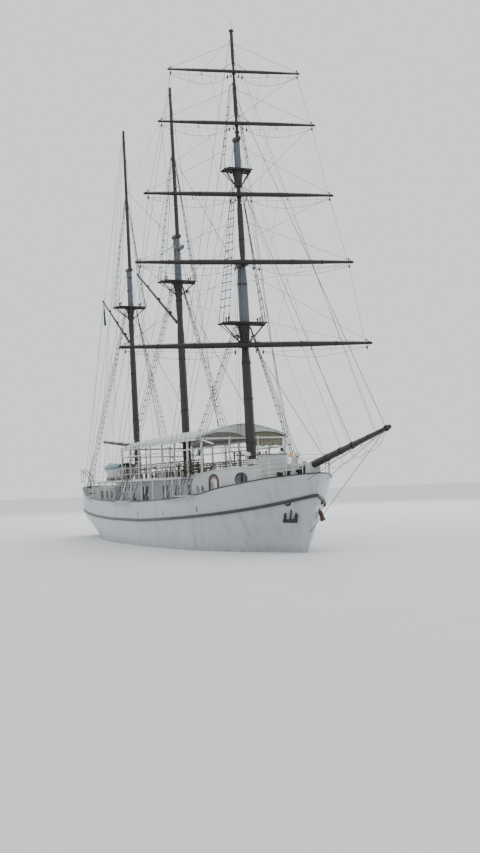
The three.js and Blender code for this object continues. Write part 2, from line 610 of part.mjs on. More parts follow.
// Masts. Each is given by its line at MAST_DATUM, and the mast above it stands a little ahead.
const MASTS = {
  fore: { line: FORE, foot: 1500, hounds: 11190, cap: 14150, r0: 232, r1: 170 },
  main: { line: MAIN, foot: 1250, hounds: 15010, cap: 17660, r0: 220, r1: 150 },
  mizzen: { line: MIZZEN, foot: 1300, hounds: 14990, cap: 17470, r0: 200, r1: 130 },
};
const ahead = (line, by) => (z) => line(z) + by;
const UPPER = {
  fore_topmast: { line: ahead(FORE, 340), foot: 11230, top: 20700, r0: 135, r1: 102 },
  fore_pole_mast: { line: ahead(FORE, 550), foot: 19060, top: 26300, r0: 88, r1: 50 },
  main_topmast: { line: ahead(MAIN, 290), foot: 15050, top: 26620, r0: 100, r1: 52 },
  mizzen_topmast: { line: ahead(MIZZEN, 265), foot: 15030, top: 26900, r0: 92, r1: 48 },
};
const SPIKE = 690;
const CAP_HIGH = 90;

const mastBody = ({ line, foot, cap, r0, r1 }, grow = 0) => spar(line, foot, cap + 60, r0 + grow, r1 + grow);
const upperBody = ({ line, foot, top, r0, r1 }, grow = 0) => spar(line, foot, top, r0 + grow, r1 + grow);

// A cap joins the head of one mast to the mast ahead of it.
function capBlock(line, z, r, next) {
  const front = next.line(z) + next.r0 + 70;
  return block(line(z) - r - 50, front, -r - 50, r + 50, z - CAP_HIGH, z + CAP_HIGH);
}

// Pivots on a mast: two lugs with a gap between for the tongue of a yard, gaff or boom. They are
// drawn in the pivot's own frame, with the mast's axis at reach behind (or, for dir -1, ahead).
const TONGUE = { high: 40, play: 0.5, lug: 45, wide: 60, nose: 50 };
function lugs(dir, reach, mastRadius) {
  const back = -dir * (reach - mastRadius * 0.55);
  const x0 = Math.min(back, dir * TONGUE.nose);
  const x1 = Math.max(back, dir * TONGUE.nose);
  const inner = TONGUE.high + TONGUE.play;
  return [1, -1].map((side) => {
    const z0 = side > 0 ? inner : -inner - TONGUE.lug;
    return block(x0, x1, -TONGUE.wide - 6, TONGUE.wide + 6, z0, z0 + TONGUE.lug);
  });
}
function tongue(dir, length) {
  const x0 = Math.min(-dir * 45, dir * length);
  return block(x0, x0 + length + 45, -TONGUE.wide, TONGUE.wide, -TONGUE.high, TONGUE.high);
}
const RAKE_DEGREES = (Math.atan(MAST_RAKE) * 180) / Math.PI;
// A negative turn about Y leans the top of a body aft.
const onMast = (body, line, z, brace = 0) => body
  .rotate([0, 0, brace]).rotate([0, -RAKE_DEGREES, 0]).translate([line(z), 0, z]);

// Yards. line: the pivot's line; reach: from the pivot to the spar's centre; half: half-length;
// r and tip: radii; mast: the mast that a parrel goes round, or null for a yard hung on a truss.
const COURSE_PIVOT = 330;
const CRANE_PIVOT = 670;
const YARDS = {
  course_yard: {
    z: 10020, line: ahead(FORE, COURSE_PIVOT), reach: 250,
    half: 6440, r: 150, tip: 70, mast: null,
  },
  lower_topsail_yard: {
    z: 14150, line: ahead(FORE, CRANE_PIVOT), reach: 235,
    half: 5570, r: 132, tip: 62, mast: null,
  },
  upper_topsail_yard: { z: 17680, line: UPPER.fore_topmast.line, reach: 290, half: 4890, r: 118, tip: 55,
    mast: UPPER.fore_topmast },
  topgallant_yard: { z: 21330, line: UPPER.fore_pole_mast.line, reach: 230, half: 4070, r: 98, tip: 46,
    mast: UPPER.fore_pole_mast },
  royal_yard: { z: 24070, line: UPPER.fore_pole_mast.line, reach: 190, half: 3440, r: 82, tip: 40,
    mast: UPPER.fore_pole_mast },
};

const PARREL = 70;
function yardBody({ z, reach, half, r, tip, mast }) {
  const pieces = [];
  for (const side of [-1, 1]) {
    pieces.push(bar([reach, 0, 0], [reach, side * half * 0.45, 0], r, r * 0.92, 10));
    pieces.push(bar([reach, side * half * 0.449, 0], [reach, side * half, 0], r * 0.92, tip, 10));
  }
  if (mast === null) return join([...pieces, tongue(1, reach)]);
  const widest = mast.r0 + ((mast.r1 - mast.r0) * (z - PARREL - mast.foot)) / (mast.top - mast.foot);
  const bore = (widest + 0.35) / Math.cos(Math.PI / 36);
  const parrel = solid(turned([[-PARREL, bore + 30], [PARREL, bore + 30]], 18))
    .subtract(solid(turned([[-PARREL - 10, bore], [PARREL + 10, bore]], 36)));
  return join([...pieces, parrel, block(bore + 6, reach, -60, 60, -55, 55)]);
}

// Trestle trees and crosstrees at a mast's hounds, with struts down to a band on the mast
function crosstrees({ line, hounds: z }, r, reach, drop, next, grown) {
  const x = line(z);
  const front = next.line(z) - x + next.r0;
  const pieces = [
    block(x + front - 2 * next.r0 - 20, x + front + 20, -r - 60, r + 60, z - 90, z + 30),
    block(x - 60, x + 60, -reach, reach, z - 60, z + 20),
    bar([line(z - drop - 90), 0, z - drop - 90], [line(z - drop + 90), 0, z - drop + 90], r + 50, r + 50, 12),
  ];
  for (const shift of [-330, front + 75]) {
    pieces.push(block(x + shift - 50, x + shift + 50, -reach, reach, z - 40, z + 40));
  }
  for (const side of [-1, 1]) {
    const y = side * (r + 55);
    pieces.push(block(x - 420, x + front + 150, y - 45, y + 45, z - 90, z + 35));
    const foot = [line(z - drop), side * (r + 25), z - drop];
    pieces.push(bar(foot, [x, side * (reach - 60), z - 30], 34, 28, 6));
  }
  return carve(join(pieces), grown);
}

// Gaffs and boom: pivot behind the mast by reach, throat to peak as [x, z]
const GAFFS = {
  main_gaff: { line: MAIN, z: 12700, reach: 260, mast: 168, peak: [-9020, 16930], r0: 95, r1: 55 },
  mizzen_gaff: { line: MIZZEN, z: 12730, reach: 245, mast: 150, peak: [-16930, 16520], r0: 85, r1: 50 },
  mizzen_boom: { line: MIZZEN, z: 5890, reach: 290, mast: 190, peak: [-17600, 6480], r0: 110, r1: 78 },
};
const SPAR_START = 240;
function gaffBody({ line, z, reach, peak, r0, r1 }, grow = 0) {
  const pivot = line(z) - reach;
  const start = [pivot - SPAR_START, 0, z];
  const spike = bar(start, [peak[0], 0, peak[1]], r0 + grow, r1 + grow, 10);
  const local = spike.translate([-pivot, 0, -z]).rotate([0, RAKE_DEGREES, 0]);
  return onMast(join([local, tongue(-1, SPAR_START + 60)]), ahead(line, -reach), z);
}

// Lower masts carry their caps and the lugs of whatever swings on them.
const foreSpace = mastBody(MASTS.fore, GAP);
const mainSpace = mastBody(MASTS.main, GAP);
const mizzenSpace = mastBody(MASTS.mizzen, GAP);
const gaffLugs = ({ line, z, reach, mast }) => (
  lugs(-1, reach, mast).map((lug) => onMast(lug, ahead(line, -reach), z))
);
const RADAR = { x: 330, y: 180, z: 16900 };
const crane = YARDS.lower_topsail_yard;
const foreLower = carve(join([
  mastBody(MASTS.fore),
  capBlock(FORE, MASTS.fore.cap, MASTS.fore.r1, UPPER.fore_topmast),
  ...lugs(1, COURSE_PIVOT, 190).map((lug) => onMast(lug, YARDS.course_yard.line, YARDS.course_yard.z)),
  ...lugs(1, CRANE_PIVOT - 340, 60).map((lug) => onMast(lug, crane.line, crane.z)),
]), [
  above,
  upperBody(UPPER.fore_topmast, GAP),
  onMast(block(-80, 400, -100, 100, -TONGUE.high - 0.5, TONGUE.high + 0.5), crane.line, crane.z),
]);
const radarX = MAIN(RADAR.z);
const mainLower = carve(join([
  mastBody(MASTS.main),
  capBlock(MAIN, MASTS.main.cap, MASTS.main.r1, UPPER.main_topmast),
  ...gaffLugs(GAFFS.main_gaff),
  block(radarX + 100, radarX + RADAR.x + 330, -RADAR.y, RADAR.y, RADAR.z - 60, RADAR.z),
  block(radarX + 170, radarX + RADAR.x + 300, -RADAR.y * 1.4, RADAR.y * 1.4, RADAR.z - 10, RADAR.z + 190),
]), [above, upperBody(UPPER.main_topmast, 8), upperBody({ ...UPPER.main_topmast, top: 17800 }, GAP)]);
const mizzenLower = carve(join([
  mastBody(MASTS.mizzen),
  capBlock(MIZZEN, MASTS.mizzen.cap, MASTS.mizzen.r1, UPPER.mizzen_topmast),
  ...gaffLugs(GAFFS.mizzen_gaff), ...gaffLugs(GAFFS.mizzen_boom),
]), [above, upperBody(UPPER.mizzen_topmast, GAP)]);

const foreTopmast = join([
  upperBody(UPPER.fore_topmast),
  capBlock(UPPER.fore_topmast.line, 20620, UPPER.fore_topmast.r1, UPPER.fore_pole_mast),
]).subtract(upperBody(UPPER.fore_pole_mast, GAP));
const topmastSpace = upperBody(UPPER.fore_topmast, GAP);
const poleWithSpike = join([
  upperBody(UPPER.fore_pole_mast),
  bar([UPPER.fore_pole_mast.line(26280), 0, 26280], [UPPER.fore_pole_mast.line(26360), 0, 26360], 95, 95, 12),
  spar(UPPER.fore_pole_mast.line, 26350, 26300 + SPIKE, 14, 8, 6),
]);
const foreTop = crosstrees(MASTS.fore, 190, 1270, 1000, UPPER.fore_topmast, [foreSpace]);
const foreTrees = crosstrees(
  { line: UPPER.fore_topmast.line, hounds: 19020 }, 110, 820, 780, UPPER.fore_pole_mast, [topmastSpace],
);
const mainTrees = crosstrees(MASTS.main, 165, 1150, 740, UPPER.main_topmast, [mainSpace]);
const mizzenTrees = crosstrees(MASTS.mizzen, 148, 1110, 740, UPPER.mizzen_topmast, [mizzenSpace]);

// Bowsprit
const SPRIT_RISE = (SPRIT_TIP[1] - SPRIT_HEEL[1]) / (SPRIT_TIP[0] - SPRIT_HEEL[0]);
const spritAt = (x) => SPRIT_HEEL[1] + SPRIT_RISE * (x - SPRIT_HEEL[0]);
const spritPart = (x0, x1, r0, r1) => bar([x0, 0, spritAt(x0)], [x1, 0, spritAt(x1)], r0, r1, 12);
const SPRIT_SWELL = 15600;
const spritBody = (grow) => join([
  spritPart(SPRIT_HEEL[0], SPRIT_SWELL, 170 + grow, 165 + grow),
  spritPart(SPRIT_SWELL - 1, SPRIT_TIP[0], 165 + grow, 85 + grow),
  spritPart(21060 - grow, 21190 + grow, 125 + grow, 125 + grow),
  spritPart(18340 - grow, 18460 + grow, 152 + grow, 152 + grow),
]);
const bowsprit = spritBody(0);
const spritSpace = join([spritBody(GAP), spritPart(12500, SPRIT_HEEL[0] + 5, 172, 172)]);

// The forecastle deck also carries the bitts, the bowsprit's bed at the stem and the windlass.
const WINDLASS = { x: 12880, z: 3540, drum: 150, journal: 42, cheek: 560 };
const windlassBore = (WINDLASS.journal + 0.3) / Math.cos(Math.PI / 24);
const forecastleFittings = carve(join([
  forecastle,
  block(13300, 13560, -330, -235, FORECASTLE_TOP - 20, 4120),
  block(13300, 13560, 235, 330, FORECASTLE_TOP - 20, 4120),
  block(13330, 13530, -400, 400, 3300, 3620),
  block(14560, 14990, -260, 260, FORECASTLE_TOP - 20, 3990),
  ...[-1, 1].map((side) => {
    const y = side * WINDLASS.cheek;
    return block(WINDLASS.x - 120, WINDLASS.x + 120, y - 40, y + 40, FORECASTLE_TOP - 20, WINDLASS.z + 110);
  }),
]), [
  spritSpace,
  bar([WINDLASS.x, -900, WINDLASS.z], [WINDLASS.x, 900, WINDLASS.z], windlassBore, windlassBore, 24),
]);
const windlass = join([
  bar([WINDLASS.x, -480, WINDLASS.z], [WINDLASS.x, 480, WINDLASS.z], WINDLASS.drum, WINDLASS.drum, 10),
  bar([WINDLASS.x, -620, WINDLASS.z], [WINDLASS.x, 620, WINDLASS.z], WINDLASS.journal, WINDLASS.journal, 24),
  ...[-1, 1].map((side) => (
    bar([WINDLASS.x, side * 612, WINDLASS.z], [WINDLASS.x, side * 820, WINDLASS.z], 95, 125, 12)
  )),
]);

// Stays of the main rigging, each from a mast's axis to the spar or mast that it sets up to
const at = (line, z) => [line(z), 0, z];
const atSprit = (x) => [x, 0, spritAt(x)];
const STAY_R = 14;
const STAYS = {
  fore_stay: [at(FORE, 10900), atSprit(15950)],
  inner_jib_stay: [at(UPPER.fore_topmast.line, 18700), atSprit(18400)],
  outer_jib_stay: [at(UPPER.fore_pole_mast.line, 22900), atSprit(21125)],
  bobstay: [[13800, 0, 650], atSprit(21125)],
  main_stay: [at(MAIN, 14750), at(FORE, 6700)],
  main_topmast_stay: [at(UPPER.main_topmast.line, 22400), at(FORE, 13700)],
  mizzen_stay: [at(MIZZEN, 14750), at(MAIN, 7600)],
  mizzen_topmast_stay: [at(UPPER.mizzen_topmast.line, 22800), at(MAIN, 17350)],
};
const stayEnds = [foreSpace, mainSpace, mizzenSpace, topmastSpace, upperBody(UPPER.fore_pole_mast, GAP),
  upperBody(UPPER.main_topmast, GAP), upperBody(UPPER.mizzen_topmast, GAP), spritBody(GAP), hullEdge];
const stayBody = ([from, to]) => carve(bar(from, to, STAY_R, STAY_R, 6), stayEnds);

// Rudder under the counter, heeled in the sole piece
const rudder = carve(join([
  plate([[-14120, -600], [-14900, -640], [-15250, -1500], [-15200, -2700], [-14120, -2925], [-13970, -2925],
    [-13970, -600]], -65, 65),
  bar([RUDDER_AXIS, 0, -3020], [RUDDER_AXIS, 0, -500], 85, 85, 12),
]), [hullShape.translate([0, 0, TURN_GAP]), hullShape.translate([0, 0, -GAP])]);

// Propeller: a boss and four blades
const PROP = { x: -13150.5, z: -1750, boss: 315 };
function propeller() {
  const pieces = [bar([-PROP.boss, 0, 0], [0, 0, 0], 60, 112, 12)];
  for (let i = 0; i < 4; i += 1) {
    const blade = solid(new THREE.SphereGeometry(1, 10, 6).scale(26, 190, 290));
    pieces.push(blade.rotate([0, 0, 38]).translate([-150, 0, 330]).rotate([90 * i + 45, 0, 0]));
  }
  return join(pieces).translate([PROP.x, 0, PROP.z]);
}

// Anchors housed against either bow, under the rubbing strake
const ANCHOR = { x: 13900, out: 735, z: 1800, turn: 36 };
function anchor(side) {
  const body = join([
    bar([0, 0, -330], [0, 0, 400], 42, 36, 8),
    block(-330, 330, -75, 75, -430, -290),
    plate([[-330, -300], [-330, -70], [-260, 20], [-190, -300]], -45, 45),
    plate([[330, -300], [190, -300], [260, 20], [330, -70]], -45, 45),
  ]);
  return body.rotate([side * 16, 0, 0]).rotate([0, 0, -side * ANCHOR.turn])
    .translate([ANCHOR.x, side * ANCHOR.out, ANCHOR.z]).subtract(hullEdge);
}

// Ship's boat on the promenade, with its cover laced down. [share of the length, half-beam, keel, gunwale]
const BOAT = { x0: -9720, x1: -6130, y: -1930 };
const BOAT_SECTIONS = [
  [0, 30, 640, 980], [0.06, 260, 330, 940], [0.2, 520, 130, 900],
  [0.45, 700, 60, 860], [0.75, 700, 60, 850], [1, 560, 90, 860],
];
function boat() {
  const rings = BOAT_SECTIONS.map(([share, half, low, high]) => {
    const x = BOAT.x0 + share * (BOAT.x1 - BOAT.x0);
    const corners = [[0, low], [half * 0.75, low + (high - low) * 0.28], [half, high]];
    const cover = [[half + 25, high], [half + 25, high + 60], [half * 0.5, high + 190], [0, high + 250]];
    const side = [...corners, ...cover];
    const starboard = side.map(([y, z]) => [x, BOAT.y - y, PROMENADE_TOP + z]);
    const port = side.slice(1, -1).reverse().map(([y, z]) => [x, BOAT.y + y, PROMENADE_TOP + z]);
    return [...starboard, ...port];
  });
  return skin(rings);
}
const boatBody = boat();
const chocks = [-8900, -6900].map((x) => (
  block(x - 50, x + 50, BOAT.y - 520, BOAT.y + 520, PROMENADE_TOP - 20, PROMENADE_TOP + 330)
));
const promenadeWithChocks = carve(join([promenadeDeck, ...chocks]), [boatBody.translate([0, 0, -GAP])]);

// Davits on the starboard quarter. Each turns on a heel pin on the deck and in a collar on the cap rail.
const DAVITS = { davit_forward: { x: -12950, turn: 0 }, davit_aft: { x: -15850, turn: 10 } };
const DAVIT_R = 50;
const HEEL = 14;
const davitY = (x) => 470 - along(x, 'half');
function davit({ x, turn }) {
  const deck = deckAt(x);
  const path = new THREE.CurvePath();
  path.add(new THREE.LineCurve3(new THREE.Vector3(0, 0, deck + 110), new THREE.Vector3(0, 0, 3500)));
  path.add(new THREE.QuadraticBezierCurve3(new THREE.Vector3(0, 0, 3500), new THREE.Vector3(0, 0, 4250),
    new THREE.Vector3(0, -700, 4520)));
  const section = new THREE.Shape().absarc(0, 0, DAVIT_R, 0, Math.PI * 2, false);
  const tube = new THREE.ExtrudeGeometry(section, { extrudePath: path, steps: 14, curveSegments: 4 });
  const heel = [
    bar([0, 0, deck - 20], [0, 0, deck + 60], HEEL, HEEL),
    bar([0, 0, deck + 50], [0, 0, deck + 120], HEEL, DAVIT_R),
  ];
  const standing = join([solid(tube), ...heel]).rotate([0, 0, -turn]).translate([x, davitY(x), 0]);
  return standing.subtract(above.translate([0, 0, TURN_GAP]));
}
const collars = Object.values(DAVITS).map(({ x }) => {
  const z = railAt(x) + 15;
  const arm = block(x - 85, x + 85, 90 - railHalfAt(x), davitY(x) + 85, z, z + 55);
  return arm.subtract(bar([x, davitY(x), z - 50], [x, davitY(x), z + 100], DAVIT_R + 0.8, DAVIT_R + 0.8, 24));
});
const capWithCollars = join([capRail, ...collars.map((collar) => collar.subtract(bulwarkSpace))]);

// Ensign hanging from the mizzen gaff's peak: a slim closed fold of cloth
const ENSIGN = { top: [-16720, 16360], foot: [-16480, 14690] };
const ensign = skin([0, 0.3, 0.7, 1].map((t) => {
  const x = ENSIGN.top[0] + t * (ENSIGN.foot[0] - ENSIGN.top[0]);
  const z = ENSIGN.top[1] + t * (ENSIGN.foot[1] - ENSIGN.top[1]);
  const wide = 60 + 100 * t;
  return [0, 1, 2, 3, 4, 5].map((i) => {
    const turn = (Math.PI * i) / 3;
    return [x + wide * Math.cos(turn), wide * 0.55 * Math.sin(turn), z];
  });
})).subtract(join([0, 40].map((up) => gaffBody(GAFFS.mizzen_gaff, GAP).translate([0, 0, up]))));

// Scene graph
const group = new THREE.Group();

function add(name, body, colour, roughness = 0.6, metalness = 0) {
  const material = new THREE.MeshStandardMaterial({ color: COLOURS[colour], roughness, metalness });
  const mesh = new THREE.Mesh(geometryOf(body), material);
  mesh.name = name;
  group.add(mesh);
  return mesh;
}

add('hull', hullShape, 'hullPaint', 0.45);
add('bulwark', bulwark, 'hullPaint', 0.45);
add('cap_rail', capWithCollars, 'whitePaint', 0.5);
add('rubbing_strake', strake, 'darkTrim');
add('forecastle', forecastleFittings, 'teak', 0.7);
add('forecastle_rail', forecastleRail, 'whitePaint', 0.4);
add('windlass_drum', windlass, 'iron', 0.5, 0.6);
add('bowsprit', bowsprit, 'spar');
add('anchor_starboard', anchor(-1), 'iron', 0.6, 0.6);
add('anchor_port', anchor(1), 'iron', 0.6, 0.6);
add('forward_deckhouse', forwardHouse, 'whitePaint', 0.5);
add('forward_door_starboard', sideDoor(-1), 'darkTrim');
add('forward_door_port', sideDoor(1), 'darkTrim');
add('midships_deckhouse', midHouse, 'whitePaint', 0.5);
add('midships_door', endDoor, 'darkTrim');
add('promenade_deck', promenadeWithChocks, 'teak', 0.7);
add('promenade_rail', promenadeRail, 'whitePaint', 0.4);
add('stair_starboard', stair(-1), 'whitePaint');
add('stair_port', stair(1), 'whitePaint');
add('pavilion_frame', pavilionFrame(), 'whitePaint', 0.4);
add('pavilion_roof_forward', canvasRoof(PAVILION.step, PAVILION.x1 + 90, 0), 'canvas', 0.8);
add('pavilion_roof_aft', canvasRoof(PAVILION.x0 - 90, PAVILION.step - 8, AFT_DROP), 'canvas', 0.8);
add('aft_deckhouse', aftHouse, 'whitePaint', 0.5);
add('aft_door', aftDoor, 'darkTrim');
add('skylight_lid', skylightLid, 'glass', 0.2);
add('helm_pedestal', pedestal, 'teak', 0.5);
add('steering_wheel', steeringWheel(), 'teak', 0.5);
add('ships_boat', boatBody, 'whitePaint');
for (const [name, place] of Object.entries(DAVITS)) add(name, davit(place), 'whitePaint');
add('fore_lower_mast', foreLower, 'mastPaint');
add('fore_topmast', foreTopmast, 'mastPaint');
add('fore_pole_mast', poleWithSpike, 'mastPaint');
add('fore_top', foreTop, 'iron');
add('fore_crosstrees', foreTrees, 'iron');
add('main_lower_mast', mainLower, 'mastPaint');
add('main_topmast', upperBody(UPPER.main_topmast), 'mastPaint');
add('main_crosstrees', mainTrees, 'iron');
add('mizzen_lower_mast', mizzenLower, 'mastPaint');
add('mizzen_topmast', upperBody(UPPER.mizzen_topmast), 'mastPaint');
add('mizzen_crosstrees', mizzenTrees, 'iron');
for (const [name, yard] of Object.entries(YARDS)) {
  add(name, onMast(yardBody(yard), yard.line, yard.z, BRACE_ANGLE), 'spar');
}
for (const [name, gaff] of Object.entries(GAFFS)) add(name, gaffBody(gaff), 'spar');
add('ensign', ensign, 'flag', 0.9);
for (const [name, ends] of Object.entries(STAYS)) add(name, stayBody(ends), 'wire', 0.5, 0.5);
add('rudder', rudder, 'darkTrim');
add('propeller', propeller(), 'bronze', 0.4, 0.9);

export default group;
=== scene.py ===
"""A three-masted sailing ship with square yards on the foremast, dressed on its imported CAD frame."""

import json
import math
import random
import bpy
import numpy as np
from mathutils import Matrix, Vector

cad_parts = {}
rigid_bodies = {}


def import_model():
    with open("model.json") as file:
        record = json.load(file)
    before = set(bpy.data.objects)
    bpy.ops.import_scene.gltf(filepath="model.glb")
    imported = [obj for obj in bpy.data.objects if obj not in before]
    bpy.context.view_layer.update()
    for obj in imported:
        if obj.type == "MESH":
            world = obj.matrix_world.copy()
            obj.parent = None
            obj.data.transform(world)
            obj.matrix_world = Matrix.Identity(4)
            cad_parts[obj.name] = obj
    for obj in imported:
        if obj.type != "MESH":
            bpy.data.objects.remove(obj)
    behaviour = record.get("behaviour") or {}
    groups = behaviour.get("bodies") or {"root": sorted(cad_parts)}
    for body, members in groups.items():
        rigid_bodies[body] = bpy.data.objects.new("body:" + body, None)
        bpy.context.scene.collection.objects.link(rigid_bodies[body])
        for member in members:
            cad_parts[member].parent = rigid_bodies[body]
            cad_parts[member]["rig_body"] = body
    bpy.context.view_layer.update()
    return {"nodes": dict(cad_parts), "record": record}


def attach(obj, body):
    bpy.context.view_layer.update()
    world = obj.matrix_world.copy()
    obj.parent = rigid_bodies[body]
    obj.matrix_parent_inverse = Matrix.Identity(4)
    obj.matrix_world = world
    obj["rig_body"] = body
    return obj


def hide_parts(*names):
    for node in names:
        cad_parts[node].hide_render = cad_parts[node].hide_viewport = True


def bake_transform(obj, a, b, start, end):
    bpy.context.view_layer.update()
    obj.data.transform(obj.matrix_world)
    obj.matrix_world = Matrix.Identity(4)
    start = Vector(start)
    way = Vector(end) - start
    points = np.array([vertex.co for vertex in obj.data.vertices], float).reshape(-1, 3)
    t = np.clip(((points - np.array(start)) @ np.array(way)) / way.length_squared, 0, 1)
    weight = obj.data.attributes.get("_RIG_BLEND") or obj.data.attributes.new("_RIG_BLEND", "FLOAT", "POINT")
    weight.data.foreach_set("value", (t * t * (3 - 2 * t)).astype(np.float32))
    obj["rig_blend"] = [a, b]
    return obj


bl_info = {
    "name": "Three-masted sailing ship",
    "version": (1, 0, 0),
    "blender": (4, 5, 0),
    "location": "View3D > Sidebar > Sailing ship",
    "description": "Builds the ship's finished pieces on the packed frame, with its rigging and canvas",
    "category": "Object",
}

import bmesh
import bpy
import numpy as np
from mathutils import Matrix, Vector

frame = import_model()
NODES = frame["nodes"]
BODY_OF = {name: piece["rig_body"] for name, piece in NODES.items()}

# Sizes of the ship, in metres, as the CAD has them.

# Stations from stern to bow: x, keel, waterline half-breadth, knuckle half-breadth, deck edge
# half-breadth, deck height, and the bulwark's top as x, half-breadth and height, then the bilge.
STATIONS = np.array([
    [-17.95, 1.48, 0, 0.04, 0.06, 1.95, -18.15, 0.06, 3.35, 1],
    [-17.85, 1.33, 0, 0.38, 0.45, 1.95, -18.04, 0.46, 3.345, 1],
    [-17.5, 1.13, 0, 0.85, 0.93, 1.945, -17.68, 0.96, 3.335, 1],
    [-16.9, 0.88, 0, 1.35, 1.45, 1.93, -17.05, 1.5, 3.31, 1],
    [-16.0, 0.52, 0, 1.85, 1.98, 1.9, -16.08, 2.03, 3.25, 1],
    [-15.0, 0.13, 0, 2.15, 2.25, 1.85, -15.0, 2.32, 3.14, 1],
    [-14.0, -0.35, 1.05, 2.4, 2.45, 1.79, -14.0, 2.5, 2.99, 1],
    [-13.0, -0.95, 1.56, 2.56, 2.61, 1.73, -13.0, 2.66, 2.85, 1],
    [-11.0, -2.15, 2.25, 2.83, 2.88, 1.64, -11.0, 2.92, 2.59, 1.2],
    [-8.0, -2.65, 2.95, 3.11, 3.15, 1.55, -8.0, 3.18, 2.45, 2],
    [-4.0, -2.75, 3.33, 3.39, 3.41, 1.49, -4.0, 3.44, 2.4, 2.8],
    [0.0, -2.75, 3.42, 3.47, 3.48, 1.49, 0.0, 3.51, 2.385, 3],
    [4.0, -2.7, 3.28, 3.36, 3.39, 1.6, 4.0, 3.43, 2.47, 2.5],
    [7.0, -2.65, 2.9, 3.06, 3.11, 1.73, 7.0, 3.21, 2.62, 2],
    [8.6, -2.6, 2.48, 2.79, 2.86, 1.82, 8.65, 3.01, 2.74, 1.6],
    [10.0, -2.5, 1.9, 2.44, 2.54, 1.92, 10.1, 2.74, 2.96, 1.2],
    [11.5, -2.25, 1.12, 1.95, 2.09, 2.06, 11.65, 2.34, 3.14, 1],
    [12.7, -1.65, 0.52, 1.44, 1.62, 2.2, 12.9, 1.88, 3.29, 1],
    [13.4, -0.85, 0.18, 1.02, 1.22, 2.31, 13.65, 1.48, 3.37, 1],
    [13.85, 0.22, 0, 0.74, 0.95, 2.39, 14.12, 1.19, 3.41, 1],
    [14.4, 1.18, 0, 0.33, 0.54, 2.51, 14.7, 0.78, 3.46, 1],
    [14.8, 1.95, 0, 0.08, 0.23, 2.6, 15.22, 0.35, 3.49, 1],
    [15.03, 2.15, 0, 0.03, 0.04, 2.65, 15.5, 0.05, 3.5, 1],
])
# Rise of the deck's middle, thickness of the cap rail and the bulwark, and width of a deck plank
CAMBER, CAP_THICK, WALL, PLANK = 0.08, 0.06, 0.09, 0.11
PROMENADE_TOP = 3.6

# Masts: x at the datum height, and the distance that they lean aft for each metre up
MAST_X = {"fore": 8.168, "main": -0.865, "mizzen": -9.982}
DATUM, RAKE = 4.3, 0.055
# Spars above the lower masts: mast, distance ahead of its line, foot, top, radii
UPPER = {
    "fore_topmast": ("fore", 0.34, 11.23, 20.7, 0.135, 0.102),
    "fore_pole_mast": ("fore", 0.55, 19.06, 26.3, 0.088, 0.05),
    "main_topmast": ("main", 0.29, 15.05, 26.62, 0.1, 0.052),
    "mizzen_topmast": ("mizzen", 0.265, 15.03, 26.9, 0.092, 0.048),
}
# Yards: height, pivot ahead of the foremast's line, reach to the spar, half-length, radii
YARDS = {
    "course_yard": (10.02, 0.33, 0.25, 6.44, 0.15, 0.07),
    "lower_topsail_yard": (14.15, 0.67, 0.235, 5.57, 0.132, 0.062),
    "upper_topsail_yard": (17.68, 0.34, 0.29, 4.89, 0.118, 0.055),
    "topgallant_yard": (21.33, 0.55, 0.23, 4.07, 0.098, 0.046),
    "royal_yard": (24.07, 0.55, 0.19, 3.44, 0.082, 0.04),
}
# Degrees that the yards are braced at rest
BRACED = -10.9
# The way that every mast points
UPRIGHT = Vector((-RAKE, 0, 1)).normalized()


def mast_at(mast, z, ahead=0.0):
    """The point on a mast's line at a height."""
    return Vector((MAST_X[mast] - RAKE * (z - DATUM) + ahead, 0, z))


def yard_at(name, share, forward=0.0, up=0.0):
    """A point by a yard: share of its half-length to port, then forward and up from its centre."""
    z, ahead, reach, half, _r, _tip = YARDS[name]
    local = Vector((reach + forward, share * half, up))
    local = Matrix.Rotation(math.radians(BRACED), 3, "Z") @ local
    local = Matrix.Rotation(-math.atan(RAKE), 3, "Y") @ local
    return mast_at("fore", z, ahead) + local


def yard_radius(name, share):
    """A yard's radius at a share of its half-length."""
    _z, _ahead, _reach, _half, r, tip = YARDS[name]
    share = abs(share)
    thick = r * 0.92
    return thick if share < 0.45 else thick + (tip - thick) * (share - 0.45) / 0.55


def station(x, column, place=0):
    """A value of the station table anywhere along the ship."""
    return float(np.interp(x, STATIONS[:, place], STATIONS[:, column]))


def rail_half(x):
    return station(x, 7, 6)


def rail_top(x):
    return station(x, 8, 6) + CAP_THICK


def deck_at(x, y=0.0):
    """Height of the cambered main deck."""
    half = station(x, 4)
    share = min(1.0, abs(y) / half)
    rise = 0.75 + 0.25 * (1 - share / 0.5) if share < 0.5 else 0.75 * (1 - share) / 0.5
    return station(x, 5) + CAMBER * rise


# Colour and materials

def linear(colour):
    """An sRGB hex value, or a colour of the panel, as linear values with alpha. An output passes."""
    if isinstance(colour, bpy.types.NodeSocket):
        return colour
    if not isinstance(colour, str):
        return tuple(colour)[:3] + (1.0,)
    parts = [int(colour[i:i + 2], 16) / 255 for i in (1, 3, 5)]
    return tuple(c / 12.92 if c <= 0.04045 else ((c + 0.055) / 1.055) ** 2.4 for c in parts) + (1.0,)


def add(tree, kind, settings):
    """One node. Each setting is an attribute, a socket's value or an output to link to a socket."""
    made = tree.nodes.new(kind)
    for key, value in settings.items():
        if isinstance(value, bpy.types.NodeSocket):
            tree.links.new(value, made.inputs[key])
        elif isinstance(key, str) and hasattr(made, key):
            setattr(made, key, value)
        else:
            made.inputs[key].default_value = value
    return made


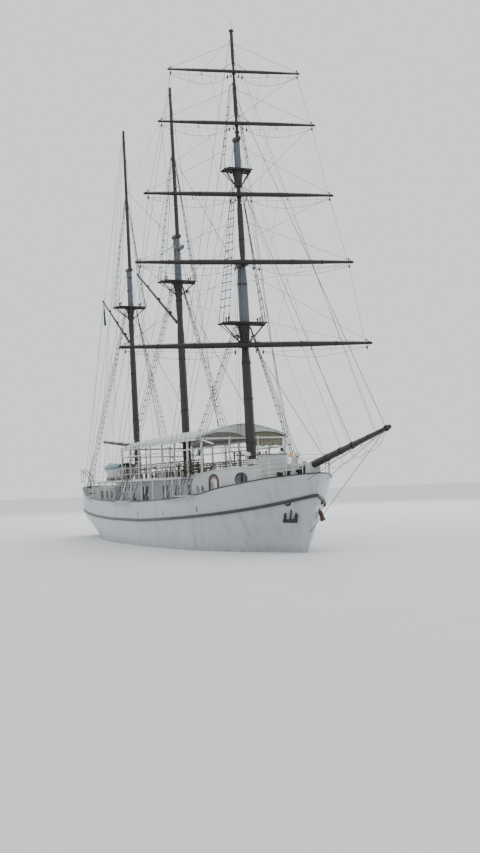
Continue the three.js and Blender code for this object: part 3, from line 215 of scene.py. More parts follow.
class Look:
    """A material in the making, with its tree, its shader and the object coordinates.

    The shader's own IOR of 1.5 fits paint, varnish and tar, so only cloth and glass set theirs.
    """

    def __init__(self, name, settings):
        self.material = bpy.data.materials.new(name)
        self.material.use_nodes = True
        self.tree = self.material.node_tree
        self.tree.nodes.clear()
        self.shader = add(self.tree, "ShaderNodeBsdfPrincipled", settings)
        add(self.tree, "ShaderNodeOutputMaterial", {"Surface": self.shader.outputs[0]})
        self.place = add(self.tree, "ShaderNodeTexCoord", {}).outputs["Object"]

    def spread(self, scale, detail, low, high, stretch=(1, 1, 1)):
        """Soft noise from 0 to 1, its scale in repeats a metre along each axis."""
        turned = add(self.tree, "ShaderNodeMapping", {"Scale": tuple(scale * s for s in stretch),
                                                      "Vector": self.place})
        noise = add(self.tree, "ShaderNodeTexNoise", {"Scale": 1.0, "Detail": detail,
                                                      "Vector": turned.outputs[0]})
        span = {"From Min": low, "From Max": high, "Value": noise.outputs["Fac"]}
        return add(self.tree, "ShaderNodeMapRange", span).outputs[0]

    def band(self, value, low, high, soft):
        """1 where a value lies between two limits, else 0."""
        share = 1.0
        for start, end in ((low - soft, low + soft), (high + soft, high - soft)):
            span = {"From Min": start, "From Max": end, "Value": value}
            side = add(self.tree, "ShaderNodeMapRange", span).outputs[0]
            share = add(self.tree, "ShaderNodeMath", {"operation": "MULTIPLY", 0: share, 1: side}).outputs[0]
        return share

    def coated(self, base, over, mask, share=1.0):
        """A base colour with another over it where a mask says, by a share at most."""
        amount = add(self.tree, "ShaderNodeMath", {"operation": "MULTIPLY", 0: mask, 1: share}).outputs[0]
        colours = {"data_type": "RGBA", 0: amount, 6: linear(base), 7: linear(over)}
        return add(self.tree, "ShaderNodeMix", colours).outputs[2]

    def done(self, base, height, strength, distance):
        """The material, with its colour and a relief of so many metres joined to the shader."""
        relief = {"Strength": strength, "Distance": distance, "Height": height}
        raised = add(self.tree, "ShaderNodeBump", relief).outputs[0]
        self.tree.links.new(base, self.shader.inputs["Base Color"])
        self.tree.links.new(raised, self.shader.inputs["Normal"])
        return self.material


def painted(name, colour, worn, rough, wear=0.5, bump=0.0006, coat=0.0):
    """Oil or alkyd paint: brush-soft mottling, dirt in patches and a little orange peel."""
    look = Look(name, {"Roughness": rough, "Coat Weight": coat, "Coat Roughness": 0.15})
    base = look.coated(colour, worn, look.spread(1.3, 6, 0.42, 0.72, (1, 1, 0.35)), wear)
    base = look.coated(base, worn, look.spread(24, 4, 0.5, 0.8), wear * 0.3)
    peel = add(look.tree, "ShaderNodeTexNoise", {"Scale": 55.0, "Detail": 2.0, "Vector": look.place})
    return look.done(base, peel.outputs["Fac"], 0.4, bump)


def timber(name, pale, dark, rough, along=(0.12, 1, 1), coat=0.0):
    """Oiled or varnished softwood: long grain streaks, darker in weathered patches."""
    look = Look(name, {"Roughness": rough, "Coat Weight": coat, "Coat Roughness": 0.12})
    streaks = look.spread(28.0, 5, 0.35, 0.68, along)
    base = look.coated(dark, pale, streaks)
    base = look.coated(base, dark, look.spread(0.9, 3, 0.35, 0.7), 0.45)
    return look.done(base, streaks, 0.5, 0.0012)


def metalwork(name, colour, worn, rough, metallic, wear=0.5):
    """Cast or wrought metal: pitted, with worn or rusted patches."""
    look = Look(name, {"Metallic": metallic})
    base = look.coated(colour, worn, look.spread(3.5, 6, 0.45, 0.68), wear)
    pits = add(look.tree, "ShaderNodeTexNoise", {"Scale": 40.0, "Detail": 3.0,
                                                 "Vector": look.place}).outputs["Fac"]
    span = {"To Min": rough - 0.08, "To Max": rough + 0.12, "Value": pits}
    look.tree.links.new(add(look.tree, "ShaderNodeMapRange", span).outputs[0],
                        look.shader.inputs["Roughness"])
    return look.done(base, pits, 0.5, 0.001)


def cordage(name, colour, dark, rough):
    """Laid rope or served wire: slanting strands, drawn coarser, at 26 mm, so that they show."""
    look = Look(name, {"Roughness": rough})
    lay = 38.0
    slant = {"Rotation": (0.6, 0.9, 0.4), "Scale": (lay, lay, lay), "Vector": look.place}
    slanted = add(look.tree, "ShaderNodeMapping", slant).outputs[0]
    wave = {"Scale": 1.0, "Distortion": 0.6, "Detail": 1.0, "Vector": slanted}
    strands = add(look.tree, "ShaderNodeTexWave", wave).outputs["Fac"]
    return look.done(look.coated(dark, colour, strands, 0.7), strands, 0.6, 0.002)


def woven(name, colour, soiled, thread_mm, rough=0.75, sheen=0.25, seams=0.0):
    """Coated or plain canvas: threads both ways and soiling in patches; seams is the panel width."""
    look = Look(name, {"Roughness": rough, "Sheen Weight": sheen, "Sheen Roughness": 0.4, "IOR": 1.46})
    tree, repeats = look.tree, 1000.0 / thread_mm
    weave = 1.0
    for way in "XY":
        wave = {"bands_direction": way, "Scale": repeats / 6.283, "Distortion": 0.4, "Vector": look.place}
        thread = add(tree, "ShaderNodeTexWave", wave).outputs["Fac"]
        weave = add(tree, "ShaderNodeMath", {"operation": "MULTIPLY", 0: weave, 1: thread}).outputs[0]
    base = look.coated(colour, soiled, look.spread(1.6, 6, 0.42, 0.75), 0.55)
    if seams:
        along = add(tree, "ShaderNodeSeparateXYZ", {0: look.place}).outputs[0]
        panels = add(tree, "ShaderNodeMath", {"operation": "MULTIPLY", 1: 1.0 / seams, 0: along}).outputs[0]
        part = add(tree, "ShaderNodeMath", {"operation": "FRACT", 0: panels}).outputs[0]
        stripe = look.band(part, 0.0, 0.035, 0.008)
        base = look.coated(base, soiled, stripe, 0.35)
        weave = add(tree, "ShaderNodeMath", {"operation": "MULTIPLY_ADD", 0: stripe, 1: 0.8,
                                             2: weave}).outputs[0]
    return look.done(base, weave, 0.5, 0.0015)


def hull_paint():
    """White alkyd on steel plating: faint welds, rust runs from the side and slime at the water."""
    look = Look("white_alkyd_on_steel_plating", {"Roughness": 0.38, "Coat Weight": 0.25,
                                                 "Coat Roughness": 0.2})
    tree = look.tree
    split = add(tree, "ShaderNodeSeparateXYZ", {0: look.place})
    height = split.outputs[2]
    near_rail, near_water, under_water = (
        add(tree, "ShaderNodeMapRange", {"From Min": start, "From Max": end, "Value": height}).outputs[0]
        for start, end in ((0.7, 1.6), (0.42, 0.02), (0.0, -0.03)))
    patches = look.spread(0.7, 5, 0.4, 0.75, (1, 1, 0.5))
    base = look.coated(paint().hull, "#a4a9aa", patches, 0.5)
    base = look.coated(base, "#84817a", look.spread(2.6, 7, 0.5, 0.82, (1, 1, 0.06)), 0.55)
    for mask, where, colour, share in (
            (look.spread(5.0, 8, 0.68, 0.86, (1, 1, 0.05)), near_rail, "#8a5b3a", 0.6),
            (look.spread(3.0, 6, 0.25, 0.7), near_water, "#7b7c6a", 0.55)):
        mask = add(tree, "ShaderNodeMath", {"operation": "MULTIPLY", 0: mask, 1: where}).outputs[0]
        base = look.coated(base, colour, mask, share)
    base = look.coated(base, look.coated("#5e2f28", "#443029", patches), under_water)
    flat = add(tree, "ShaderNodeCombineXYZ", {0: split.outputs[0], 1: height}).outputs[0]
    bricks = {"Scale": 1.0, "Brick Width": 3.2, "Row Height": 0.62, "Mortar Size": 0.012,
              "Mortar Smooth": 0.9}
    plates = add(tree, "ShaderNodeTexBrick", bricks | {"Vector": flat}).outputs["Fac"]
    dents = add(tree, "ShaderNodeTexNoise", {"Scale": 1.6, "Detail": 2.0,
                                             "Vector": look.place}).outputs["Fac"]
    relief = 0.0
    for part, share in ((plates, 0.35), (dents, 0.6)):
        relief = add(tree, "ShaderNodeMath", {"operation": "MULTIPLY_ADD", 0: part, 1: share,
                                              2: relief}).outputs[0]
    return look.done(base, relief, 0.35, 0.012)


def planking(name, pale, dark):
    """Scrubbed softwood deck planks, each of its own tone, with black pitch in the seams."""
    look = Look(name, {"Roughness": 0.7})
    bricks = {"Color1": linear(pale), "Color2": linear(dark), "Mortar": linear("#25221e"), "Scale": 1.0,
              "Brick Width": 4.5, "Row Height": PLANK, "Mortar Size": 0.0055, "Mortar Smooth": 0.1,
              "Bias": -0.1}
    planks = add(look.tree, "ShaderNodeTexBrick", bricks | {"Vector": look.place})
    base = look.coated(planks.outputs["Color"], dark, look.spread(30.0, 4, 0.3, 0.7, (0.1, 1, 1)), 0.3)
    base = look.coated(base, "#6f675b", look.spread(0.8, 5, 0.4, 0.7), 0.35)
    groove = {"operation": "SUBTRACT", 0: 1.0, 1: planks.outputs["Fac"]}
    return look.done(base, add(look.tree, "ShaderNodeMath", groove).outputs[0], 0.6, 0.004)


def mast_paint(name, bands):
    """Weathered brown-grey spar paint, with the doublings picked out in grey."""
    look = Look(name, {"Roughness": 0.5})
    height = add(look.tree, "ShaderNodeSeparateXYZ", {0: look.place}).outputs[2]
    grain = look.spread(16.0, 5, 0.35, 0.7, (1, 1, 0.05))
    patches = look.spread(1.1, 5, 0.4, 0.7, (1, 1, 0.4))
    base = look.coated(paint().mast, "#211d1a", grain, 0.6)
    base = look.coated(base, "#453d35", patches, 0.3)
    doubling = look.coated(paint().doubling, "#666d72", patches, 0.5)
    for low, high in bands:
        base = look.coated(base, doubling, look.band(height, low, high, 0.008))
    return look.done(base, grain, 0.4, 0.0015)


def glazing(name, tint, rough=0.05):
    """Float glass with painted shade: its tint darkened in patches towards near-black for an unlit room behind
    it, under a bright, slightly wavy surface.
    """
    look = Look(name, {"Roughness": rough, "IOR": 1.52, "Coat Weight": 0.6, "Coat Roughness": 0.03})
    # Painted shade: near-black patches over the tint stand in for the unlit room behind the pane.
    base = look.coated(tint, "#11171b", look.spread(2.2, 3, 0.35, 0.7, (1, 1, 0.6)))
    waves = add(look.tree, "ShaderNodeTexNoise", {"Scale": 5.0, "Detail": 1.0, "Vector": look.place})
    return look.done(base, waves.outputs["Fac"], 0.08, 0.01)


def paint():
    """The colours that the panel lists."""
    return bpy.context.scene.ship_paint


# Each finish: what makes it, and its values. A finish is made when a piece first asks for it.
FINISHES = {
    # Satin white on steel plates, greyed by salt, with long faint runs below the side's openings.
    "hull_paint": lambda: hull_paint(),
    # Brushed oil paint on houses and bulwark: soft sheen, dirt where water stands.
    "white_paint": lambda: painted("white_oil_paint", paint().house, "#9b9d99", 0.42, wear=0.45, coat=0.15),
    # Enamel on tube: smoother and glossier than the houses, so that rails catch thin lines of light.
    "frame_paint": lambda: painted("white_enamel_on_rail_tube", paint().rail, "#96948b", 0.32, wear=0.3,
                                   coat=0.2),
    # Near-black paint on the cap rail and strake: a firm dark line along the side, scuffed brown.
    "dark_paint": lambda: painted("black_brown_trim_paint", paint().trim, "#4b4640", 0.4, wear=0.5),
    # Gritty non-slip paint on the house tops: matt grey with a coarser peel.
    "roof_paint": lambda: painted("grey_roof_paint", paint().roof, "#62655f", 0.6, wear=0.6, bump=0.0015),
    # Scrubbed pine: pale 110 mm planks, each of its own tone, between black seams.
    "deck": lambda: planking("scrubbed_pine_planking", paint().deck, "#7f6a4d"),
    # Varnished mahogany: red-brown grain under a clear gloss, on doors, wheel box and skylight.
    "varnish": lambda: timber("varnished_mahogany", "#7a4a2a", "#4a2a18", 0.28, coat=0.6),
    # Bare teak left to the weather: silvery brown and matt, on benches and pin rails.
    "teak": lambda: timber("weathered_teak", "#6d6150", "#4a4136", 0.6),
    # Oiled pine: almost black against the sky, its grain along the yard.
    "spar": lambda: timber("dark_oiled_pine_spar", paint().spar, "#191613", 0.5, along=(1, 0.08, 1)),
    # Brown-black mast paint, drawn up the mast, with a grey band at each doubling.
    "fore_mast": lambda: mast_paint("fore_mast_paint", [(11.0, 14.05), (18.85, 20.4)]),
    "main_mast": lambda: mast_paint("main_mast_paint", [(14.95, 17.5)]),
    "mizzen_mast": lambda: mast_paint("mizzen_mast_paint", [(14.95, 17.35)]),
    # Oiled elm: the dark dots of blocks and ratlines along the rigging.
    "block_wood": lambda: timber("oiled_elm_block", "#2e2822", "#1b1714", 0.5),
    # Black paint on forged iron: half dull, half metal where it is rubbed.
    "iron": lambda: metalwork("black_painted_iron", "#26272a", "#4a3529", 0.5, 0.35),
    # Anchor iron that has lost its paint: rough, brown and orange.
    "rusty_iron": lambda: metalwork("rusted_anchor_iron", "#3a2d27", "#7a4a2c", 0.75, 0.3, wear=0.9),
    # Hot-dip zinc: dull grey metal with darker blooms, on rigging screws and chain.
    "zinc": lambda: metalwork("hot_dip_galvanised_steel", "#8d9294", "#6b6f70", 0.42, 0.9, wear=0.4),
    # Cast bronze: brown-gold under water, on the propeller.
    "bronze": lambda: metalwork("cast_bronze", "#a5834a", "#6a5a3a", 0.35, 1.0, wear=0.6),
    # Polished brass: small warm highlights of the bell, the compass and locks.
    "brass": lambda: metalwork("polished_brass", "#c2a056", "#94783c", 0.22, 1.0, wear=0.3),
    # Tarred wire rope: thin black lines; its lay is drawn at 26 mm, as 8 mm wouldn't show.
    "wire": lambda: cordage("tarred_wire_rope", "#2b2b2c", "#191919", 0.55),
    # Tarred hemp: brown-black and matt, on footropes and lashings.
    "tarred": lambda: cordage("tarred_hemp", "#3a3028", "#211b17", 0.8),
    # Manila: straw-coloured running rope, greyed by handling.
    "manila": lambda: cordage("manila_rope", "#8d7a58", "#5f5039", 0.85),
    # Coated canvas: off-white and slightly shiny, with a seam at every 1.35 m panel.
    "roof_canvas": lambda: woven("pvc_coated_roof_canvas", paint().canvas, "#9a9c96", 9.0, 0.55, 0.1,
                                 seams=1.35),
    # Beige curtain cloth: soft, dull folds under the roof's front.
    "curtain": lambda: woven("beige_curtain_cloth", "#8a8473", "#6b6657", 8.0, 0.5, 0.2),
    # Teal canvas on the boat: faded on top, deeper where it tucks in.
    "boat_cover": lambda: woven("teal_boat_cover_canvas", paint().boat_cover, "#35646b", 8.0, 0.7, 0.2),
    # Navy bunting: dark, with a fibre sheen along its folds.
    "flag": lambda: woven("navy_flag_bunting", "#242f40", "#171e2b", 8.0, 0.8, 0.35),
    # Cabin glass: a dark tint as painted shade of an unlit room behind a bright, slightly wavy face.
    "glass": lambda: glazing("cabin_glass_painted_room_shade", "#27343c"),
    # Frosted lamp glass: pale and soft.
    "lamp_glass": lambda: glazing("frosted_lamp_glass", "#d7dad2", 0.3),
    # Painted cloth on cork: white, with four orange bands.
    "lifebuoy": lambda: painted("lifebuoy_cloth_white", "#d8d6cf", "#a59f90", 0.65, wear=0.3),
    "orange": lambda: painted("orange_band_cloth", "#b5502c", "#84402a", 0.65, wear=0.3),
}
MADE = {}


def finish(name):
    """The named finish, made once."""
    if name not in MADE:
        MADE[name] = FINISHES[name]()
    return MADE[name]


# Geometry

class Shape:
    """Points and faces of one piece, with a finish number for each face."""

    def __init__(self):
        self.points = []
        self.faces = []
        self.marks = []

    def take(self, points, faces, mark=0):
        """Adds a closed or open skin."""
        start = len(self.points)
        self.points.extend(tuple(p) for p in points)
        self.faces.extend(tuple(start + i for i in face) for face in faces)
        self.marks.extend([mark] * len(faces))

    def grid(self, rows, round_rows=False, round_columns=False, ends=False, mark=0):
        """A skin over rows of points; either way may close on itself, and ends may be filled."""
        count, wide = len(rows), len(rows[0])
        faces = []
        for i in range(count if round_rows else count - 1):
            for j in range(wide if round_columns else wide - 1):
                a, b = i * wide, ((i + 1) % count) * wide
                k = (j + 1) % wide
                faces.append((a + j, a + k, b + k, b + j))
        if ends:
            faces.append(tuple(range(wide - 1, -1, -1)))
            faces.append(tuple((count - 1) * wide + j for j in range(wide)))
        self.take([p for row in rows for p in row], faces, mark)

    def tube(self, path, radius, sides=10, mark=0, ring=False):
        """A round bar along a path, with one radius or one for each point."""
        path = [Vector(p) for p in path]
        radii = radius if isinstance(radius, (list, tuple)) else [radius] * len(path)
        rows, before = [], None
        for i, point in enumerate(path):
            ahead = path[(i + 1) % len(path)] if ring or i + 1 < len(path) else point
            behind = path[i - 1] if ring or i > 0 else point
            way = (ahead - behind).normalized()
            if before is None:
                across = way.orthogonal().normalized()
            else:
                across = (before - way * before.dot(way)).normalized()
            before = across
            other = way.cross(across)
            rows.append([point + radii[i] * (across * math.cos(t) + other * math.sin(t))
                         for t in (2 * math.pi * j / sides for j in range(sides))])
        self.grid(rows, round_rows=ring, round_columns=True, ends=not ring, mark=mark)

    def turned(self, rows, base, way, sides=20):
        """A turned form: rows of distance along the way and radius, closed on its axis."""
        way = Vector(way).normalized()
        across = way.orthogonal().normalized()
        other = way.cross(across)
        base = Vector(base)
        rings = [[base + way * d + max(r, 0.0004) * (across * math.cos(t) + other * math.sin(t))
                  for t in (2 * math.pi * j / sides for j in range(sides))] for d, r in rows]
        self.grid(rings, round_columns=True, ends=True)

    def hoop(self, point, way, span, inner, outer, sides):
        """A band round a bar, over a span along its way."""
        low, high = span
        self.turned([(low, inner), (low, outer), (high, outer), (high, inner)], point, way, sides)

    def box(self, low, high):
        """A block between two corners, which may be given in any order on each axis."""
        (x0, x1), (y0, y1), (z0, z1) = (sorted(pair) for pair in zip(low, high))
        corners = [(x, y, z) for z in (z0, z1) for x, y in ((x0, y0), (x1, y0), (x1, y1), (x0, y1))]
        self.take(corners, [(3, 2, 1, 0), (4, 5, 6, 7), (0, 1, 5, 4), (1, 2, 6, 5), (2, 3, 7, 6),
                            (3, 0, 4, 7)])

    def prism(self, outline, place, thickness):
        """An outline of 2-D points put in space by place(u, v, w) and given a thickness in w."""
        count = len(outline)
        points = [place(u, v, 0.0) for u, v in outline] + [place(u, v, thickness) for u, v in outline]
        faces = [tuple(range(count - 1, -1, -1)), tuple(range(count, 2 * count))]
        faces += [(i, (i + 1) % count, count + (i + 1) % count, count + i) for i in range(count)]
        self.take(points, faces)

    def thing(self, name, finishes, bevel=0.0, angle=32.0, merge=0.0):
        """The shape as a finished object, on no body yet."""
        mesh = bpy.data.meshes.new(name)
        mesh.from_pydata(self.points, [], self.faces)
        for key in ([finishes] if isinstance(finishes, str) else finishes):
            mesh.materials.append(finish(key))
        mesh.polygons.foreach_set("material_index", self.marks)
        work = bmesh.new()
        work.from_mesh(mesh)
        if merge:
            bmesh.ops.remove_doubles(work, verts=work.verts, dist=merge)
        bmesh.ops.recalc_face_normals(work, faces=work.faces)
        work.to_mesh(mesh)
        work.free()
        return soften(link(name, mesh), bevel, angle)

    def piece(self, name, finishes, body, slot=None, bevel=0.0, angle=32.0, replaces=()):
        """The finished object, on its body."""
        return settle(self.thing(name, finishes, bevel, angle), body, replaces)


def link(name, mesh):
    thing = bpy.data.objects.new(name, mesh)
    bpy.context.scene.collection.objects.link(thing)
    return thing


def baked(thing):
    """Turns an object's evaluated mesh into its plain mesh and drops its modifiers."""
    graph = bpy.context.evaluated_depsgraph_get()
    graph.update()
    mesh = bpy.data.meshes.new_from_object(thing.evaluated_get(graph), preserve_all_data_layers=True,
                                           depsgraph=graph)
    thing.modifiers.clear()
    thing.data = mesh
    return thing


def soften(thing, bevel, angle):
    """Small rounded edges and smooth shading up to an angle."""
    mesh = thing.data
    mesh.shade_smooth()
    mesh.set_sharp_from_angle(angle=math.radians(angle))
    if bevel:
        edge = thing.modifiers.new("rounded edges", "BEVEL")
        edge.width = bevel
        edge.segments = 2
        edge.limit_method = "ANGLE"
        edge.angle_limit = math.radians(angle)
        edge.harden_normals = False
        even = thing.modifiers.new("even shading", "WEIGHTED_NORMAL")
        even.keep_sharp = True
        baked(thing)
    return thing


def settle(thing, body, replaces=()):
    """Puts a piece on its body and takes the place of its CAD nodes."""
    if body:
        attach(thing, body)
    if replaces:
        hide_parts(*replaces)
    return thing


SLOT_OF = {part["node"]: part["material_slot"] for part in frame["record"]["subparts"]}
# How much the masts swell between the pivots of their spars, below and above the tops.
SWELL, SWELL_UP = 0.03, 0.034
# Heights of the spars' pivots, where the mast keeps its thickness, and of the mast caps.
PIVOTS = {"fore": (10.02, 14.15, 17.68, 21.33, 24.07), "main": (12.7,), "mizzen": (12.73, 5.89)}
CAPS = {"fore": (14.15, 20.62), "main": (17.66,), "mizzen": (17.47,)}


def fatten(work, mast, ahead, amount):
    """Lets a mast swell a little between its pivots, and draws its caps in."""
    for z in PIVOTS[mast]:
        for step in (-0.75, -0.3, 0.3, 0.75):
            everything = work.verts[:] + work.edges[:] + work.faces[:]
            bmesh.ops.bisect_plane(work, geom=everything, plane_co=(0, 0, z + step), plane_no=(0, 0, 1))
    for point in work.verts:
        axis = mast_at(mast, point.co.z, ahead)
        way = Vector((point.co.x - axis.x, point.co.y))
        clear = min(abs(point.co.z - z) for z in PIVOTS[mast])
        share = min(1.0, max(0.0, (clear - 0.3) / 0.45))
        if 0.02 < way.length < 0.3:
            way = way.normalized() * amount * share
            point.co += Vector((way.x, way.y, 0))
        if min(abs(point.co.z - z) for z in CAPS[mast]) < 0.16 and abs(point.co.y) > 0.15:
            point.co.y *= 0.8


def dress(node, finishes, bevel=0.006, angle=32.0, choose=None, swell=None):
    """A merged copy of a CAD node with rounded edges and its finish, in the node's place."""
    mesh = NODES[node].data.copy()
    mesh.name = node + "_finished"
    work = bmesh.new()
    work.from_mesh(mesh)
    bmesh.ops.remove_doubles(work, verts=work.verts, dist=0.00025)
    bmesh.ops.dissolve_limit(work, angle_limit=math.radians(0.5), verts=work.verts, edges=work.edges)
    if swell:
        fatten(work, *swell)
    work.to_mesh(mesh)
    work.free()
    for extra in [a.name for a in mesh.attributes if a.name in ("custom_normal", "sharp_edge", "sharp_face")]:
        mesh.attributes.remove(mesh.attributes[extra])
    mesh.materials.clear()
    keys = [finishes] if isinstance(finishes, str) else finishes
    for key in keys:
        mesh.materials.append(finish(key))
    mesh.polygons.foreach_set("material_index", [choose(f) if choose else 0 for f in mesh.polygons])
    thing = link(node + "_finished", mesh)
    soften(thing, bevel, angle)
    return settle(thing, BODY_OF[node], (node,))


# The hull and what follows its edge

def smooth_rows(rows, places):
    """Rows of numbers carried smoothly to new places between them, without overshoot."""
    rows = np.asarray(rows, float)
    steps = np.diff(rows, axis=0)
    slopes = np.zeros_like(rows)
    both = steps[:-1] * steps[1:] > 0
    mean = 2 * steps[:-1] * steps[1:] / np.where(steps[:-1] + steps[1:] == 0, 1, steps[:-1] + steps[1:])
    slopes[1:-1] = np.where(both, mean, 0)
    slopes[0], slopes[-1] = steps[0], steps[-1]
    out = []
    for t in places:
        i = min(int(t), len(rows) - 2)
        s = t - i
        a, b = rows[i], rows[i + 1]
        ha, hb = slopes[i], slopes[i + 1]
        out.append(a * (2 * s**3 - 3 * s**2 + 1) + ha * (s**3 - 2 * s**2 + s)
                   + b * (-2 * s**3 + 3 * s**2) + hb * (s**3 - s**2))
    return np.array(out)


# The freeing ports' middles; then the places of the skin's rows among the stations, and the rows
PORTS = (-11.5, -7.6, -3.7, 0.4, 4.3, 8.1)
PLACES = np.array(sorted({round(i + k / n, 4) for i in range(22) for n in [2 if i < 7 or i > 16 else 6]
                          for k in range(n)} | {22.0}))
EDGES = smooth_rows(STATIONS, PLACES)


def half_section(row):
    """Half of one section from the keel to the deck edge, as height and half-breadth."""
    _x, keel, wl, knee, half, deck = row[:6]
    full = row[9]
    top = deck - 0.45 * min(1.0, (deck - keel) / 0.9)
    depth = top - keel
    share = 1 - (1 + keel / depth) ** full if wl > 0 else 0
    power = math.log(wl / knee) / math.log(share) if wl > 0 else 0.62
    points = [(0.0, keel)]
    for s in (0.015, 0.06, 0.12, 0.2, 0.3, 0.42, 0.55, 0.68, 0.8, 0.9):
        points.append((knee * (1 - (1 - s) ** full) ** power, keel + s * depth))
    return points + [(knee, top), (half, deck)]


def outward(loop, out):
    """A closed loop of points moved outwards in plan."""
    moved = []
    for i, (x, y, z) in enumerate(loop):
        before, after = loop[i - 1], loop[(i + 1) % len(loop)]
        way = Vector((after[0] - before[0], after[1] - before[1])).normalized()
        moved.append(Vector((x + way.y * out, y - way.x * out, z)))
    return moved


def edge_loop(columns, rows=EDGES):
    """The closed line round the ship through three columns of the station rows."""
    side = [(r[columns[0]], r[columns[1]], r[columns[2]]) for r in rows]
    return [(x, -y, z) for x, y, z in side] + list(reversed(side))


def build_hull():
    shape = Shape()
    sections = np.array([half_section(row) for row in STATIONS])
    table = sections.reshape(len(STATIONS), -1)
    fine = smooth_rows(np.column_stack([STATIONS[:, 0], table]), PLACES)
    rows = []
    for line in fine:
        half = line[1:].reshape(-1, 2)
        port = [(line[0], y, z) for y, z in half[::-1][:-1]]
        rows.append(port + [(line[0], -y, z) for y, z in half])
    shape.grid(rows)
    shape.take(rows[0], [tuple(range(len(rows[0])))])
    shape.take(rows[-1], [tuple(range(len(rows[-1]) - 1, -1, -1))])
    deck = []
    for row in EDGES:
        x, half, top = row[0], row[4], row[5]
        deck.append([(x, half * s, top + CAMBER * (1 - abs(s) ** 1.6)) for s in np.linspace(-1, 1, 13)])
    shape.grid(deck, mark=1)
    keel = [(11.3, -2.15), (12.3, -2.08), (11.2, -2.62), (8.6, -2.9), (-6, -3.08), (-14.45, -3.15),
            (-14.45, -2.99), (-13.05, -2.96), (-13.05, -0.7), (-12, -1.2), (-10.5, -2), (-8, -2.45),
            (0, -2.6), (8, -2.4)]
    shape.prism(keel, lambda u, v, w: (u, w - 0.14, v), 0.28)
    shape.turned([(0, 0.19), (0.72, 0.135), (0.75, 0.12)], (-12.4, 0, -1.75), (-1, 0, 0), 24)
    shape.turned([(0, 0.17), (1.43, 0.152), (1.44, 0.15)], (-14.05, 0, 0.9), (0, 0, -1), 24)
    shape.piece("hull_plating", ["hull_paint", "deck"], BODY_OF["hull"], SLOT_OF["hull"],
                angle=38, replaces=("hull",))


def build_bulwark():
    """Plating in an outer and an inner skin, and a slot at each freeing port."""
    inner_of, outer_of = [], []
    places = set(PLACES.tolist())
    for port in PORTS:
        for x in (port - 0.06, port + 0.06):
            places.add(float(np.interp(x, EDGES[:, 0], PLACES)))
    places = sorted(places)
    rows = smooth_rows(STATIONS, places)
    deck, rail = edge_loop((0, 4, 5), rows), edge_loop((6, 7, 8), rows)
    shape = Shape()
    for out in (0.0, -WALL):
        low, high = outward(deck, out), outward(rail, out)
        ladder = []
        for a, b in zip(low, high):
            tall = b.z - a.z
            ladder.append([a.lerp(b, s / tall) for s in (-0.04, 0.11, 0.35, tall)])
        (outer_of if out == 0 else inner_of).extend(ladder)
    count = len(deck)
    middles = [(deck[i][0] + deck[(i + 1) % count][0]) / 2 for i in range(count)]
    for i in range(count):
        k = (i + 1) % count
        opened = any(abs(middles[i] - port) < 0.05 for port in PORTS) and abs(deck[i][1]) > 1
        for skin, flip in ((outer_of, False), (inner_of, True)):
            for j in range(3):
                if opened and j == 1:
                    continue
                quad = [skin[i][j], skin[k][j], skin[k][j + 1], skin[i][j + 1]]
                shape.take(quad, [(3, 2, 1, 0) if flip else (0, 1, 2, 3)])
        shape.take([outer_of[i][3], outer_of[k][3], inner_of[k][3], inner_of[i][3]], [(0, 1, 2, 3)])
        if opened:
            for a, m, b, n in ((i, 1, k, 1), (k, 1, k, 2), (k, 2, i, 2), (i, 2, i, 1)):
                shape.take([outer_of[a][m], outer_of[b][n], inner_of[b][n], inner_of[a][m]], [(0, 1, 2, 3)])
    thing = shape.thing("bulwark_plating", ["hull_paint", "white_paint"], 0.0, 38, merge=0.0005)
    for face in thing.data.polygons:
        inside = face.center.y * face.normal.y < 0 and abs(face.normal.z) < 0.5
        face.material_index = 1 if inside else 0
    settle(thing, BODY_OF["bulwark"], ("bulwark",))
    build_band("cap_rail_moulding", "cap_rail", (6, 7, 8), [
        (0.045, 0.012), (0.045, 0.048), (0.033, 0.06), (-0.123, 0.06), (-0.135, 0.048), (-0.135, 0.012),
        (-0.123, 0.001), (0.033, 0.001)])
    build_band("rubbing_strake_moulding", "rubbing_strake", (0, 4, 5),
               [(0.0, -0.17), (0.05, -0.168), (0.068, -0.15), (0.07, -0.1), (0.07, -0.06), (0.062, -0.03),
                (0.045, -0.021), (0.0, -0.02)])


def build_band(name, node, columns, section):
    """A moulding that follows the ship's edge, with its section given as out and up."""
    loop = edge_loop(columns)
    rings = [outward(loop, out) for out, _up in section]
    shape = Shape()
    rows = [[rings[j][i] + Vector((0, 0, section[j][1])) for j in range(len(section))]
            for i in range(len(loop))]
    shape.grid(rows, round_rows=True, round_columns=True)
    if node == "cap_rail":
        for x, y in ((-12.95, -2.14675), (-15.85, -1.5505)):
            z, edge = rail_top(x) - CAP_THICK + 0.015, -rail_half(x) + 0.09
            for x0, x1, y0, y1 in ((-0.0515, -0.085, edge, y + 0.085), (0.0515, 0.085, edge, y + 0.085),
                                   (-0.0515, 0.0515, y + 0.052, y + 0.085),
                                   (-0.0515, 0.0515, edge, y - 0.052)):
                shape.box((x + x0, y0, z), (x + x1, y1, z + 0.055))
    shape.piece(name, "dark_paint", BODY_OF[node], SLOT_OF[node], angle=30, replaces=(node,))


# Rigging. Lines are gathered as runs of points with a thickness, and Geometry Nodes make the rope.

def new_tree(name, sockets):
    """A Geometry Nodes tree with its named inputs, and geometry going in and out."""
    tree = bpy.data.node_groups.new(name, "GeometryNodeTree")
    for label, kind in [("Geometry", "Geometry")] + sockets:
        tree.interface.new_socket(label, in_out="INPUT", socket_type="NodeSocket" + kind)
    tree.interface.new_socket("Geometry", in_out="OUTPUT", socket_type="NodeSocketGeometry")
    return tree


def finished_tree(tree, shape, finish):
    """The tree with its last nodes: instances made real, the finish and the output."""
    real = add(tree, "GeometryNodeRealizeInstances", {0: shape})
    finished = add(tree, "GeometryNodeSetMaterial", {"Geometry": real.outputs[0], "Material": finish})
    add(tree, "NodeGroupOutput", {0: finished.outputs[0]})
    return tree


